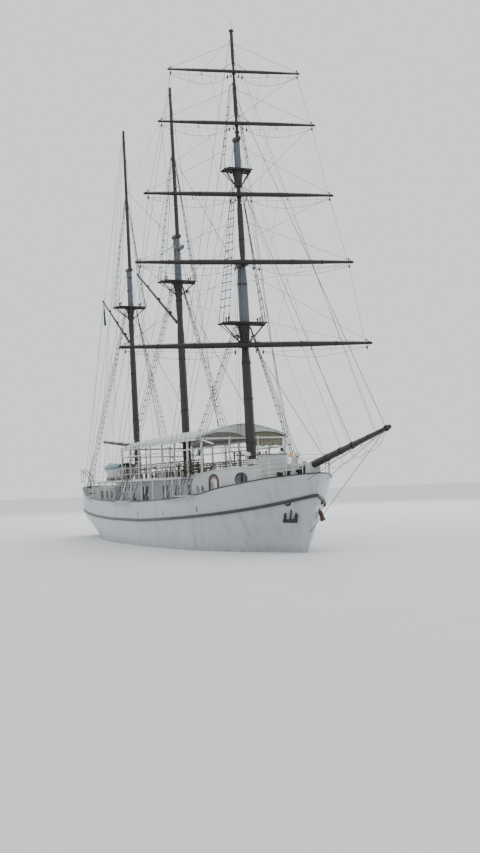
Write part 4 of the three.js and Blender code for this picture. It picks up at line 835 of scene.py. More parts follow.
def rope_tree():
    """A tree that turns edges into rope of the thickness stored with them."""
    tree = new_tree("rope_along_edges", [("Thickness", "Float"), ("Sides", "Int"), ("Finish", "Material")])
    given = add(tree, "NodeGroupInput", {})
    curve = add(tree, "GeometryNodeMeshToCurve", {0: given.outputs["Geometry"]})
    stored = add(tree, "GeometryNodeInputNamedAttribute", {"data_type": "FLOAT", "Name": "thickness"})
    thick = add(tree, "ShaderNodeMath", {"operation": "MULTIPLY", 0: stored.outputs[0],
                                         1: given.outputs["Thickness"]})
    around = add(tree, "GeometryNodeCurvePrimitiveCircle",
                 {"Radius": 1.0, "Resolution": given.outputs["Sides"]})
    sized = add(tree, "GeometryNodeSetCurveRadius", {"Curve": curve.outputs[0], "Radius": thick.outputs[0]})
    skin = add(tree, "GeometryNodeCurveToMesh", {"Fill Caps": True, "Curve": sized.outputs[0],
                                                 "Profile Curve": around.outputs[0]})
    if "Scale" in skin.inputs:
        tree.links.new(thick.outputs[0], skin.inputs["Scale"])
    smooth = add(tree, "GeometryNodeSetShadeSmooth", {0: skin.outputs[0]})
    return finished_tree(tree, smooth.outputs[0], given.outputs["Finish"])


def repeat_tree():
    """A tree that stands a part on each point, turned and sized by what is stored there."""
    tree = new_tree("part_on_points", [("Part", "Object"), ("Size", "Float"), ("Finish", "Material")])
    given = add(tree, "NodeGroupInput", {})
    turn = add(tree, "GeometryNodeInputNamedAttribute", {"data_type": "FLOAT_VECTOR", "Name": "turn"})
    size = add(tree, "GeometryNodeInputNamedAttribute", {"data_type": "FLOAT", "Name": "size"})
    part = add(tree, "GeometryNodeObjectInfo", {"Object": given.outputs["Part"]})
    facing = add(tree, "FunctionNodeEulerToRotation", {0: turn.outputs[0]})
    scale = add(tree, "ShaderNodeMath", {"operation": "MULTIPLY", 0: size.outputs[0],
                                         1: given.outputs["Size"]})
    stood = add(tree, "GeometryNodeInstanceOnPoints", {"Points": given.outputs["Geometry"],
                                                       "Instance": part.outputs["Geometry"],
                                                       "Rotation": facing.outputs[0],
                                                       "Scale": scale.outputs[0]})
    return finished_tree(tree, stood.outputs[0], given.outputs["Finish"])


def grown(name, points, edges, stored, tree, inputs):
    """The plain mesh that a tree makes from points, edges and the values stored with the points."""
    mesh = bpy.data.meshes.new(name)
    mesh.from_pydata(points, edges, [])
    for label, values in stored.items():
        single = isinstance(values[0], (int, float))
        layer = mesh.attributes.new(label, "FLOAT" if single else "FLOAT_VECTOR", "POINT")
        flat = values if single else [c for value in values for c in value]
        layer.data.foreach_set("value" if single else "vector", flat)
    thing = link(name, mesh)
    group = bpy.data.node_groups.get(tree.__name__) or tree()
    group.name = tree.__name__
    maker = thing.modifiers.new("maker", "NODES")
    maker.node_group = group
    for item in group.interface.items_tree:
        if item.name in inputs and item.in_out == "INPUT":
            maker[item.identifier] = inputs[item.name]
    baked(thing)
    for label in [layer.name for layer in thing.data.attributes if layer.name in (*stored, "radius")]:
        thing.data.attributes.remove(thing.data.attributes[label])
    return thing


class Repeats:
    """One part that Geometry Nodes stand on many points."""

    def __init__(self, part, bevel=0.0):
        self.part, self.bevel = part, bevel
        self.spots, self.turns, self.sizes = [], [], []

    def put(self, point, way, up=(0, 1, 0.02), size=1.0):
        """A copy at a point, with its Z along the way and its X square to both the way and up."""
        way = Vector(way).normalized()
        side = way.cross(Vector(up))
        side = side.normalized() if side.length > 0.01 else Vector((1, 0, 0))
        self.spots.append(Vector(point))
        self.turns.append(Matrix((side, way.cross(side), way)).transposed().to_euler())
        self.sizes.append(size)

    def piece(self, name, key, body, slot):
        source = self.part.thing(name + "_part", key, self.bevel)
        thing = grown(name, self.spots, [], {"turn": self.turns, "size": self.sizes}, repeat_tree,
                      {"Part": source, "Size": 1.0, "Finish": finish(key)})
        bpy.data.objects.remove(source)
        return settle(thing, body)


class Rope:
    """Runs of rope for one piece."""

    def __init__(self):
        self.runs = []

    def run(self, points, radius):
        self.runs.append(([Vector(p) for p in points], radius))

    def sag(self, a, b, radius, drop, count=8):
        """A run that hangs between two points."""
        a, b = Vector(a), Vector(b)
        self.run([a.lerp(b, i / count) + Vector((0, 0, -4 * drop * (i / count) * (1 - i / count)))
                  for i in range(count + 1)], radius)

    def piece(self, name, key, body, slot, sides=6):
        points, edges, thick = [], [], []
        for run, radius in self.runs:
            start = len(points)
            points.extend(run)
            edges.extend((start + i, start + i + 1) for i in range(len(run) - 1))
            thick.extend([radius] * len(run))
        thing = grown(name, points, edges, {"thickness": thick}, rope_tree,
                      {"Thickness": 1.0, "Sides": sides, "Finish": finish(key)})
        return settle(thing, body)


def rigging_screw():
    """A bottle screw, 0.58 m long: a barrel with a rod at each end, standing on its lower end."""
    part, rod, barrel = Shape(), 0.012, 0.024
    rows = [(0, rod), (0.07, rod), (0.093, barrel), (0.487, barrel), (0.51, rod), (0.58, rod)]
    part.turned(rows, (0, 0, 0), (0, 0, 1), 8)
    return Repeats(part)


# Each gang of shrouds: mast, then for each shroud its foot's x, and its head's shift from the
# mast and half-width; the height of the heads, and how far the channel stands out from the rail.
GANGS = {
    "fore": ([(7.95, 0.06, 0.36), (7.5, -0.06, 0.4), (7.08, -0.17, 0.44), (6.76, -0.26, 0.47)], 11.0, 0.24),
    "main": ([(-0.75, 0.14, 0.2), (-1.35, 0.02, 0.24), (-1.95, -0.1, 0.27), (-2.52, -0.2, 0.3)], 14.85, 0.27),
    "mizzen": ([(-10.55, 0.3, 0.28), (-11.1, 0.2, 0.32), (-11.65, 0.1, 0.35), (-12.15, 0.0, 0.38)],
               14.85, 0.2),
}

# The first of the two shrouds that each gang's ratlines join.
LADDERS = {"fore": 2, "main": 1, "mizzen": 0}


def shroud_ends(mast, number, side):
    """The foot and the head of one lower shroud."""
    rows, top, out = GANGS[mast]
    x, shift, wide = rows[number]
    foot = Vector((x, side * (rail_half(x) + out), rail_top(x) + 0.02))
    head = mast_at(mast, top, shift) + Vector((0, side * wide, 0))
    return foot, head


def rigging():
    """The rigging sizes that the panel lists."""
    return bpy.context.scene.ship_rigging


def rungs(ratlines, a, b, beyond):
    """A ratline between two shrouds, with its ends standing beyond them."""
    over = (b - a).normalized() * beyond
    ratlines.run([a - over, b + over], rigging().ratline)


def build_shrouds():
    rig = rigging()
    for mast, (rows, top, out) in GANGS.items():
        pair = LADDERS[mast]
        wires, ratlines, screws, channels = Rope(), Rope(), rigging_screw(), Shape()
        feet = [row[0] for row in rows]
        for side in (-1, 1):
            lines = [shroud_ends(mast, number, side) for number in range(len(rows))]
            for foot, head in lines:
                way = (head - foot).normalized()
                wires.run([foot + way * 0.55, head], rig.shroud)
                wires.run([foot + way * 0.62, foot + way * 0.95], 0.017)
                wires.run([head, mast_at(mast, top + 0.1)], 0.02)
                screws.put(foot - way * 0.02, way)
                plate = Vector((foot.x, side * (rail_half(foot.x) + 0.014), rail_top(foot.x) - 0.32))
                channels.tube([foot + Vector((0, 0, 0.01)), plate], 0.012, 6)
            z, rung = rail_top(feet[0]) + 0.75, 0
            while z < top - 0.6:
                row = [foot.lerp(head, (z - foot.z) / (head.z - foot.z)) for foot, head in lines]
                if rung == 0:
                    wires.run([row[0], row[-1]], 0.018)
                else:
                    rungs(ratlines, row[pair], row[pair + 1], 0.06)
                z += rig.rung_step * {"fore": 1.0, "main": 0.95, "mizzen": 0.85}[mast]
                rung += 1
            lows, highs = min(feet) - 0.22, max(feet) + 0.22
            inner, outer = [], []
            for x in np.linspace(lows, highs, 9):
                inner.append((x, side * (rail_half(x) + 0.03)))
                outer.append((x, side * (rail_half(x) + out + 0.05)))
            z0 = rail_top((lows + highs) / 2) - 0.05
            channels.prism(inner + list(reversed(outer)), lambda u, v, w, z0=z0: (u, v, z0 + w), 0.045)
        wires.piece(mast + "_shrouds", "wire", "ship", "wire", 6)
        ratlines.piece(mast + "_ratlines", "block_wood", "ship", "wire", 6)
        screws.piece(mast + "_rigging_screws", "zinc", "ship", "iron")
        channels.piece(mast + "_channels", "white_paint", "ship", "white_paint", bevel=0.008)


# Shrouds above each top: mast, the mast line's shift, the top's height, and for each shroud its
# foot's shift and half-reach and its head's shift and half-width; then the heads' height, the
# ratlines' spacing, how many shrouds they span, and how far down the shrouds of the top reach.
UPPER_GANGS = {
    "fore_topmast": ("fore", 0.0, 11.27, [(-0.33, 1.2, 0.1, 0.27), (0.0, 1.1, 0.2, 0.23),
                                          (0.5, 0.98, 0.29, 0.18)], 18.35, 0.41, 3, 1.0),
    "fore_topgallant": ("fore", 0.34, 19.1, [(-0.33, 0.78, 0.16, 0.1), (0.0, 0.74, 0.22, 0.08)],
                        23.5, 0.42, 2, 0.78),
    "main_topmast": ("main", 0.0, 15.09, [(-0.33, 1.1, 0.2, 0.1), (0.0, 1.07, 0.26, 0.08),
                                          (0.465, 0.95, 0.32, 0.06)], 22.5, 0.4, 2, 0.74),
    "mizzen_topmast": ("mizzen", 0.0, 15.07, [(-0.33, 1.06, 0.18, 0.1), (0.0, 1.03, 0.24, 0.08),
                                              (0.432, 0.92, 0.3, 0.06)], 22.2, 0.4, 2, 0.74),
}


def build_upper_shrouds():
    rig = rigging()
    for name, (mast, base, low, rows, high, step, laddered, drop) in UPPER_GANGS.items():
        wires, ratlines = Rope(), Rope()
        for side in (-1, 1):
            lines = []
            for shift, reach, ahead, wide in rows:
                foot = mast_at(mast, low) + Vector((base + shift, side * reach, 0.0))
                head = mast_at(mast, high, ahead) + Vector((0, side * wide, 0))
                lines.append((foot, head))
                wires.run([foot, head], rig.shroud * 0.93)
                wires.run([head, mast_at(mast, high + 0.12, ahead + 0.12)], 0.014)
                wires.run([foot, foot.lerp(head, 0.06)], 0.02)
                low_end = mast_at(mast, low - drop, base + shift * 0.4) + Vector((0, side * 0.24, 0))
                wires.run([foot + Vector((0, 0, -0.1)), low_end], 0.01)
            z = low + 0.75
            while z < high - 0.8:
                row = [foot.lerp(head, (z - foot.z) / (head.z - foot.z)) for foot, head in lines]
                rungs(ratlines, row[0], row[laddered - 1], 0.04)
                z += step
        wires.piece(name + "_shrouds", "wire", "ship", "wire", 6)
        ratlines.piece(name + "_ratlines", "block_wood", "ship", "wire", 6)


# Backstays: mast, height and half-width at the mast, distance ahead, then the foot's x
BACKSTAYS = [
    ("fore", 18.55, 0.1, 0.3, 6.35), ("fore", 20.5, 0.09, 0.5, 5.95),
    ("fore", 23.2, 0.06, 0.52, 5.5), ("fore", 25.9, 0.05, 0.52, 5.05),
    ("main", 17.5, 0.12, 0.1, -3.05), ("main", 22.4, 0.07, 0.25, -3.5), ("main", 26.3, 0.05, 0.27, -3.95),
    ("mizzen", 17.3, 0.12, 0.1, -12.22), ("mizzen", 22.1, 0.07, 0.24, -12.28),
    ("mizzen", 26.6, 0.05, 0.24, -13.6),
]


def build_backstays():
    wires, screws = Rope(), rigging_screw()
    for mast, z, wide, ahead, x in BACKSTAYS:
        for side in (-1, 1):
            out = GANGS[mast][2] if mast != "mizzen" else 0.08
            foot = Vector((x, side * (rail_half(x) + out), rail_top(x) + 0.02))
            head = mast_at(mast, z, ahead) + Vector((-0.1, side * wide, 0))
            way = (head - foot).normalized()
            wires.run([foot + way * 0.5, head], 0.0105)
            screws.put(foot, way)
            wires.run([foot, Vector((x, side * (rail_half(x) + 0.014), rail_top(x) - 0.28))], 0.009)
    for side in (-1, 1):
        head = mast_at("mizzen", 26.7, 0.24) + Vector((-0.06, 0, 0))
        wires.run([Vector((-17.7, side * 0.5, rail_top(-17.7))), head], 0.009)
    wires.piece("backstays", "wire", "ship", "wire", 6)
    screws.piece("backstay_screws", "zinc", "ship", "iron")


def pulley_blocks():
    """Wooden pulley blocks, oval with flatter cheeks, one metre in half-height before each is sized."""
    part, rows, turns = Shape(), [], [math.pi * j / 4 for j in range(8)]
    for share in (-0.98, -0.8, -0.4, 0.0, 0.4, 0.8, 0.98):
        swell = math.sqrt(1 - share * share)
        rows.append([(swell * 0.62 * math.cos(t), swell * 0.42 * math.sin(t), share) for t in turns])
    part.grid(rows, round_columns=True, ends=True)
    return Repeats(part)


def build_yard_gear():
    """Jackstays, footropes with stirrups, lifts, braces, leech lines and their blocks."""
    rig, order = rigging(), list(YARDS)
    lift_heads = {"course_yard": (13.9, 0.2), "lower_topsail_yard": (16.4, 0.36),
                  "upper_topsail_yard": (20.3, 0.4), "topgallant_yard": (23.2, 0.56),
                  "royal_yard": (25.6, 0.56)}
    brace_heads = {"course_yard": 13.7, "lower_topsail_yard": 14.3, "upper_topsail_yard": 15.35,
                   "topgallant_yard": 16.6, "royal_yard": 22.2}
    for index, name in enumerate(order):
        gear, blocks = Rope(), pulley_blocks()
        shares = [s / 14 for s in range(-14, 15)]
        radii = [yard_radius(name, s) for s in shares]
        jackstay = [yard_at(name, s * 0.985, -0.3 * r, r + 0.03) for s, r in zip(shares, radii)]
        for ends in zip(jackstay, jackstay[1:]):
            gear.run(ends, 0.008)
        for s, r, top in list(zip(shares, radii, jackstay))[::2]:
            gear.run([top, yard_at(name, s * 0.985, 0, r * 0.8)], 0.007)
        for side in (-1, 1):
            points = []
            for k in range(25):
                hang = rig.footrope_hang * math.sin(math.pi * (k / 24) ** 0.85)
                points.append(yard_at(name, side * (0.05 + 0.93 * k / 24), -0.16, -0.12 - hang))
            gear.run(points, rig.footrope)
            for k in (6, 11, 16, 20):
                s = 0.05 + 0.93 * k / 24
                gear.run([yard_at(name, side * s, -yard_radius(name, s), 0), points[k]], 0.006)
            for s, drop, size in ((0.055, 0.2, 0.085), (0.11, 0.24, 0.1), (0.5, 0.14, 0.06),
                                  (0.955, 0.16, 0.095)):
                under = yard_radius(name, s) + drop
                blocks.put(yard_at(name, side * s, 0.02, -under), (0, 0, 1), size=size)
                gear.run([yard_at(name, side * s, 0.02, -under + 0.06), yard_at(name, side * s, 0, 0)], 0.012)
            blocks.put(yard_at(name, side * 0.955, 0.0, yard_radius(name, 0.955) + 0.09), (0, 0, 1),
                       size=0.07)
            gear.run([yard_at(name, side * 0.11, 0.02, -yard_radius(name, 0.1) - 0.24),
                      yard_at(name, side * 0.955, 0.02, -0.2)], 0.0065)
            high = yard_at(name, 0.0, -0.1, 0.55 if name != "lower_topsail_yard" else -0.08)
            low = yard_at(name, side * 0.62 / YARDS[name][3], 0.0,
                          0.1 if name != "lower_topsail_yard" else -0.42)
            gear.run([high, low], 0.014)
            if index:
                below = order[index - 1]
                gear.run([yard_at(name, side * 0.955, 0.0, -0.12), yard_at(below, side * 0.94, 0.0, 0.12)],
                         0.0085)
                gear.run([yard_at(name, side * 0.4, 0.1, -0.15), yard_at(below, side * 0.2, 0.1, 0.16)],
                         0.0055)
        gear.piece(name + "_ropes", "tarred", name, "wire", 5)
        blocks.piece(name + "_blocks", "block_wood", name, "spar_wood")
        head_z, head_ahead = lift_heads[name]
        head = mast_at("fore", head_z, head_ahead)
        lifts = Rope()
        for side in (-1, 1):
            tip = yard_at(name, side * 0.975, 0, yard_radius(name, 0.975))
            lifts.run([head + Vector((0.0, side * 0.13, 0)), tip], rig.running)
        thing = lifts.piece(name + "_lifts", "wire", None, "wire", 6)
        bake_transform(thing, "ship", name, (head.x, 0, head_z - 0.05), (head.x, 0, YARDS[name][0] + 0.5))
        braces = Rope()
        z = brace_heads[name]
        head = mast_at("main", z)
        tips = []
        for side in (-1, 1):
            tip = yard_at(name, side * 0.955, -0.1, -0.05)
            tips.append(tip.x)
            braces.run([head + Vector((0.26, side * 0.2, 0)), tip], rig.running)
        thing = braces.piece(name + "_braces", "manila", None, "wire", 6)
        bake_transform(thing, "ship", name, (head.x + 0.8, 0, z), (min(tips) - 0.5, 0, z))


# Houses, doors and glass

# Corners of the forward deckhouse's side wall: x and half-breadth
FORWARD_SIDE = [(6.66, 2.64), (8.7, 2.48), (10.5, 2.17), (12.56, 1.5)]


def forward_wall(x):
    """Half-breadth of the forward deckhouse's side wall."""
    return float(np.interp(x, [p[0] for p in FORWARD_SIDE], [p[1] for p in FORWARD_SIDE]))


def oblong(x0, x1, z0, z1, corner=0.06):
    """An upright oblong with rounded corners, as pairs of x and z."""
    points = []
    for cx, cz, start in ((x1 - corner, z0 + corner, -90), (x1 - corner, z1 - corner, 0),
                          (x0 + corner, z1 - corner, 90), (x0 + corner, z0 + corner, 180)):
        for step in range(4):
            t = math.radians(start + 30 * step)
            points.append((cx + corner * math.cos(t), cz + corner * math.sin(t)))
    return points


def arch(x0, x1, low, spring, crown, steps=12):
    """An arched outline, as pairs of x and z."""
    half = (x1 - x0) / 2
    points = [(x0, low), (x1, low)]
    for i in range(steps + 1):
        t = math.pi * i / steps
        points.append(((x0 + x1) / 2 + half * math.cos(t), spring + (crown - spring) * math.sin(t)))
    return points


def oval(x, z, rx, rz, steps=24):
    """An oval outline, as pairs of x and z."""
    turns = [2 * math.pi * i / steps for i in range(steps)]
    return [(x + rx * math.cos(t), z + rz * math.sin(t)) for t in turns]


def moulding(shape, loop, place, width=0.06, proud=0.022):
    """A moulded frame round an opening. place(u, v, out) gives a point of the wall."""
    count = len(loop)
    turn = sum(loop[i][0] * loop[(i + 1) % count][1] - loop[(i + 1) % count][0] * loop[i][1]
               for i in range(count))
    sign = 1 if turn > 0 else -1
    spread_out = []
    for i in range(count):
        a, b, c = Vector(loop[i - 1]), Vector(loop[i]), Vector(loop[(i + 1) % count])
        first, second = (b - a).normalized(), (c - b).normalized()
        way = Vector((first.y + second.y, -first.x - second.x)) * sign
        way = way.normalized() if way.length > 1e-6 else Vector((first.y, -first.x)) * sign
        miter = 1 / max(0.5, way.dot(Vector((first.y, -first.x)) * sign))
        spread_out.append(way * miter)
    section = [(0.004, -0.02), (0.0, proud * 0.6), (0.008, proud), (width * 0.45, proud * 0.82),
               (width * 0.6, proud), (width - 0.008, proud), (width, proud * 0.5), (width, -0.004)]
    rows = []
    for (u, v), way in zip(loop, spread_out):
        rows.append([place(u + way.x * s, v + way.y * s, out) for s, out in section])
    shape.grid(rows, round_rows=True, round_columns=True)


def pane(shape, loop, place, depth, thickness=0.012):
    """A plate of glass in an opening."""
    shape.prism(loop, lambda u, v, w: place(u, v, depth + w), thickness)


def build_forward_house():
    tops = lambda f: 1 if f.normal.z > 0.7 and f.center.z > 3.4 else 0
    dress("forward_deckhouse", ["white_paint", "roof_paint"], 0.012, choose=tops)
    frames, dark, glass = Shape(), Shape(), Shape()
    for side in (-1, 1):
        wall = lambda u, v, out, side=side: Vector((u, side * (forward_wall(u) + out), v))
        moulding(dark, arch(8.68, 9.43, 1.972, 3.33, 3.62, 16), wall, 0.085, 0.03)
        moulding(dark, oval(11.25, 3.4, 0.33, 0.24), wall, 0.075, 0.035)
        pane(glass, oval(11.25, 3.4, 0.335, 0.245), wall, -0.05)
        dark.box((11.24, side * forward_wall(11.25) - 0.03, 3.16),
                 (11.26, side * forward_wall(11.25) + 0.02, 3.64))
        for x, z in ((7.35, 3.0), (7.95, 3.0)):
            moulding(frames, oval(x, z, 0.17, 0.17, 20), wall, 0.05, 0.028)
            pane(glass, oval(x, z, 0.165, 0.165, 20), wall, 0.003, 0.006)
        eaves = ([6.66, 8.7, 10.5, 12.56], [3.67, 3.82, 3.93, 3.97])
        rail = [wall(x, float(np.interp(x, *eaves)), 0.03) for x in np.linspace(6.68, 12.5, 15)]
        frames.tube(rail, 0.022, 8)
        for x in (9.8, 10.3, 12.0):
            grip = wall(x, 2.9, 0.0)
            bends = ((0, -0.35), (side * 0.05, -0.33), (side * 0.05, 0.33), (0, 0.35))
            frames.tube([grip + Vector((0, y, z)) for y, z in bends], 0.013, 8)
    frames.piece("forward_house_trim", "frame_paint", "ship", "white_paint", bevel=0.0)
    dark.piece("forward_house_dark_frames", "dark_paint", "ship", "dark_paint")
    glass.piece("forward_house_glass", "glass", "ship", "white_paint")
    for side, node in ((-1, "forward_door_starboard"), (1, "forward_door_port")):
        dress(node, "varnish", 0.004)
        leaf, light = Shape(), Shape()
        face = lambda u, v, out, side=side: Vector((u, side * (forward_wall(u) - 0.012 + out), v))
        light_loop = arch(8.79, 9.32, 2.62, 3.27, 3.5, 14)
        moulding(leaf, light_loop, face, 0.035, 0.01)
        pane(light, light_loop, face, 0.001, 0.004)
        moulding(leaf, oblong(8.79, 9.32, 2.08, 2.5, 0.02), face, 0.035, 0.01)
        knob = face(9.36, 2.62, 0.0)
        handle = Shape()
        bends = ((0, 0), (0, 0.045), (-0.03, 0.05), (-0.11, 0.045))
        handle.tube([knob + Vector((x, side * y, 0)) for x, y in bends], 0.011, 8)
        handle.turned([(0, 0.028), (0.006, 0.028), (0.009, 0.02)], knob, (0, side, 0), 16)
        leaf.piece(node + "_panels", "varnish", node, "dark_wood")
        light.piece(node + "_light", "lamp_glass", node, "white_paint")
        handle.piece(node + "_handle", "brass", node, "iron")


def build_midships_house():
    dress("midships_deckhouse", "white_paint", 0.008)
    frames, glass = Shape(), Shape()
    windows = (-4.6, -2.3, 1.2, 3.2, 5.2)
    for side in (-1, 1):
        wall = lambda u, v, out, side=side: Vector((u, side * (2.08 + out), v))
        for x in windows:
            loop = oblong(x - 0.55, x + 0.55, 2.42, 3.22, 0.02)
            moulding(frames, loop, wall, 0.06, 0.024)
            pane(glass, loop, wall, -0.04)
            frames.box((x - 0.02, side * 2.08 - 0.035, 2.42), (x + 0.02, side * 2.08 + 0.012, 3.22))
            frames.box((x - 0.64, side * 2.08, 2.335), (x + 0.64, side * 2.16, 2.36))
        for z in (1.86, 2.2):
            frames.box((-6.28, side * 2.075, z), (6.48, side * 2.096, z + 0.05))
        for x in np.arange(-6.0, 6.4, 0.62):
            if min(abs(x - window) for window in windows) > 0.66:
                frames.box((x - 0.03, side * 2.075, 2.25), (x + 0.03, side * 2.09, 3.46))
    aft = lambda u, v, out: Vector((-6.3 - out, u, v))
    moulding(frames, oblong(-0.4, 0.4, 1.65, 3.33, 0.02), aft, 0.06, 0.024)
    frames.piece("midships_house_trim", "frame_paint", "ship", "white_paint")
    glass.piece("midships_house_glass", "glass", "ship", "white_paint")
    dress("midships_door", "varnish", 0.004)
    build_door_leaf("midships_door", -6.29, 1.7, 3.25)


def build_door_leaf(node, x, low, high):
    """Panels, window and handle on an end door that faces aft."""
    panels, light, handle = Shape(), Shape(), Shape()
    face = lambda u, v, out: Vector((x - out, u, v))
    window = oblong(-0.25, 0.25, low + 0.85, high - 0.12, 0.03)
    moulding(panels, window, face, 0.035, 0.012)
    pane(light, window, face, 0.001, 0.004)
    moulding(panels, oblong(-0.25, 0.25, low + 0.12, low + 0.68, 0.03), face, 0.035, 0.012)
    knob = face(0.31, low + 0.78, 0.0)
    bends = ((0, 0), (-0.045, 0), (-0.05, -0.03), (-0.045, -0.1))
    handle.tube([knob + Vector((forward, y, 0)) for forward, y in bends], 0.011, 8)
    panels.piece(node + "_panels", "varnish", node, "dark_wood")
    light.piece(node + "_light", "glass", node, "white_paint")
    handle.piece(node + "_handle", "brass", node, "iron")


def build_aft_house():
    tops = lambda f: 1 if f.normal.z > 0.7 and f.center.z > 3.2 else 0
    dress("aft_deckhouse", ["white_paint", "roof_paint"], 0.01, choose=tops)
    frames, glass = Shape(), Shape()
    for side in (-1, 1):
        wall = lambda u, v, out, side=side: Vector((u, side * (1.3 + out), v))
        for x in (-13.9, -12.8, -11.7):
            loop = oblong(x - 0.26, x + 0.26, 2.55, 3.02, 0.02)
            moulding(frames, loop, wall, 0.05, 0.022)
            pane(glass, loop, wall, -0.04)
        frames.tube([wall(x, 3.2, 0.035) for x in np.linspace(-14.5, -11.1, 6)], 0.018, 8)
    aft = lambda u, v, out: Vector((-14.6 - out, u, v))
    moulding(frames, oblong(-0.38, 0.38, 1.975, 3.15, 0.02), aft, 0.055, 0.022)
    frames.piece("aft_house_trim", "frame_paint", "ship", "white_paint")
    glass.piece("aft_house_glass", "glass", "ship", "white_paint")
    dress("aft_door", "varnish", 0.004)
    build_door_leaf("aft_door", -14.59, 1.99, 3.12)
    dress("skylight_lid", "varnish", 0.005)
    lights, bars = Shape(), Shape()
    for x in (-13.3, -12.7):
        for side in (-1, 1):
            y = side * 0.19
            bars.box((x - 0.2, y - 0.13, 3.5905), (x + 0.2, y + 0.13, 3.596))
            lights.box((x - 0.17, y - 0.1, 3.5961), (x + 0.17, y + 0.1, 3.6))
            for k in range(4):
                u = x - 0.135 + 0.09 * k
                bars.tube([(u, y - 0.11, 3.603), (u, y, 3.615), (u, y + 0.11, 3.603)], 0.005, 6)
    lights.piece("skylight_panes", "glass", "skylight_lid", "white_paint")
    bars.piece("skylight_bars", "brass", "skylight_lid", "iron")


def build_decks():
    tops = lambda f: 1 if f.normal.z > 0.8 else 0
    dress("forecastle", ["white_paint", "deck"], 0.006, choose=tops)
    dress("promenade_deck", ["white_paint", "deck"], 0.006, choose=tops)
    treads = lambda f: 1 if f.normal.z > 0.8 and f.center.z < 3.5 else 0
    for node in ("stair_starboard", "stair_port"):
        dress(node, ["frame_paint", "teak"], 0.005, choose=treads)
    dress("promenade_rail", "frame_paint", 0.0, 40)
    dress("forecastle_rail", "frame_paint", 0.0, 40)


# Canvas: the pavilion's two roofs, its front valance and curtain, and the boat's cover

# The roofs' half-breadth and the height of their eaves, and where the frame's hoops stand.
ROOF_HALF, EAVES = 2.335, 5.645
HOOPS = (-5.955, -4.3, -2.7, -0.66, 1.33, 3.32, 5.31, 7.255)


def roof_height(share, lift=0.0):
    """Height of the roof's arch, at a share of its half-breadth."""
    return EAVES + lift + 0.56 * (1 - abs(share) ** 1.7)


def sag_between(x, depth=0.022):
    """How far the canvas sinks between two hoops."""
    for a, b in zip(HOOPS, HOOPS[1:]):
        if a <= x <= b:
            return depth * math.sin(math.pi * (x - a) / (b - a)) ** 0.8
    return 0.0


def cloth_piece(name, rows, key, replaces=(), thick=0.006, body="ship"):
    """A sheet made from rows of points, which gets its thickness last."""
    shape = Shape()
    shape.grid(rows)
    mesh = bpy.data.meshes.new(name)
    mesh.from_pydata(shape.points, [], shape.faces)
    mesh.materials.append(finish(key))
    thing = link(name, mesh)
    wall = thing.modifiers.new("cloth thickness", "SOLIDIFY")
    wall.thickness = thick
    wall.offset = 0.0
    baked(thing)
    thing.data.shade_smooth()
    thing.data.set_sharp_from_angle(angle=math.radians(60))
    settle(thing, body, replaces)
    return thing


def build_roofs():
    for name, node, x0, x1, lift in (("roof_canvas_forward", "pavilion_roof_forward", -2.64, 7.385, 0.0),
                                     ("roof_canvas_aft", "pavilion_roof_aft", -6.085, -2.665, -0.07)):
        rng = random.Random(7)
        ripples = [rng.uniform(0, 6.28) for _ in range(2)]
        rows = []
        for x in np.linspace(x0, x1, 14 * int(round(x1 - x0)) + 1):
            row = []
            for side in (-1, 1):
                hang = []
                scallop = abs(math.sin(math.pi * (x - x0) / 0.34))
                for k in range(5):
                    t = k / 4
                    drop = 0.02 + (0.13 + 0.05 * scallop) * (1 - t)
                    puff = 0.012 * math.sin(7.3 * x + ripples[0]) * (1 - t)
                    hang.append((x, side * (ROOF_HALF + puff), EAVES + lift - drop))
                arched = []
                for k in range(14):
                    share = 1 - k / 13.5
                    if share <= 0:
                        break
                    fall = sag_between(x) * (1 - share ** 4)
                    wrinkle = 0.006 * math.sin(5.1 * x + 9 * share + ripples[1]) * share * (1 - share)
                    arched.append((x, side * ROOF_HALF * share, roof_height(share, lift) - fall + wrinkle))
                part = hang + arched
                row = part if side == -1 else row + list(reversed(part))
            rows.append(row)
        hole = mast_at("main", 6.0)
        if x0 < hole.x < x1:
            rows = open_round_mast(rows, hole)
        cloth_piece(name, rows, "roof_canvas", (node,), 0.012)


def open_round_mast(rows, hole, clear=0.26):
    """Draws the canvas back from the mast that passes through it."""
    moved = []
    for row in rows:
        line = []
        for x, y, z in row:
            if z > 5.8:
                way = Vector((x - hole.x, y))
                near = way.length
                if near < clear:
                    way = way.normalized() if near > 1e-4 else Vector((1, 0))
                    x, y = hole.x + way.x * clear, way.y * clear
            line.append((x, y, z))
        moved.append(line)
    return moved


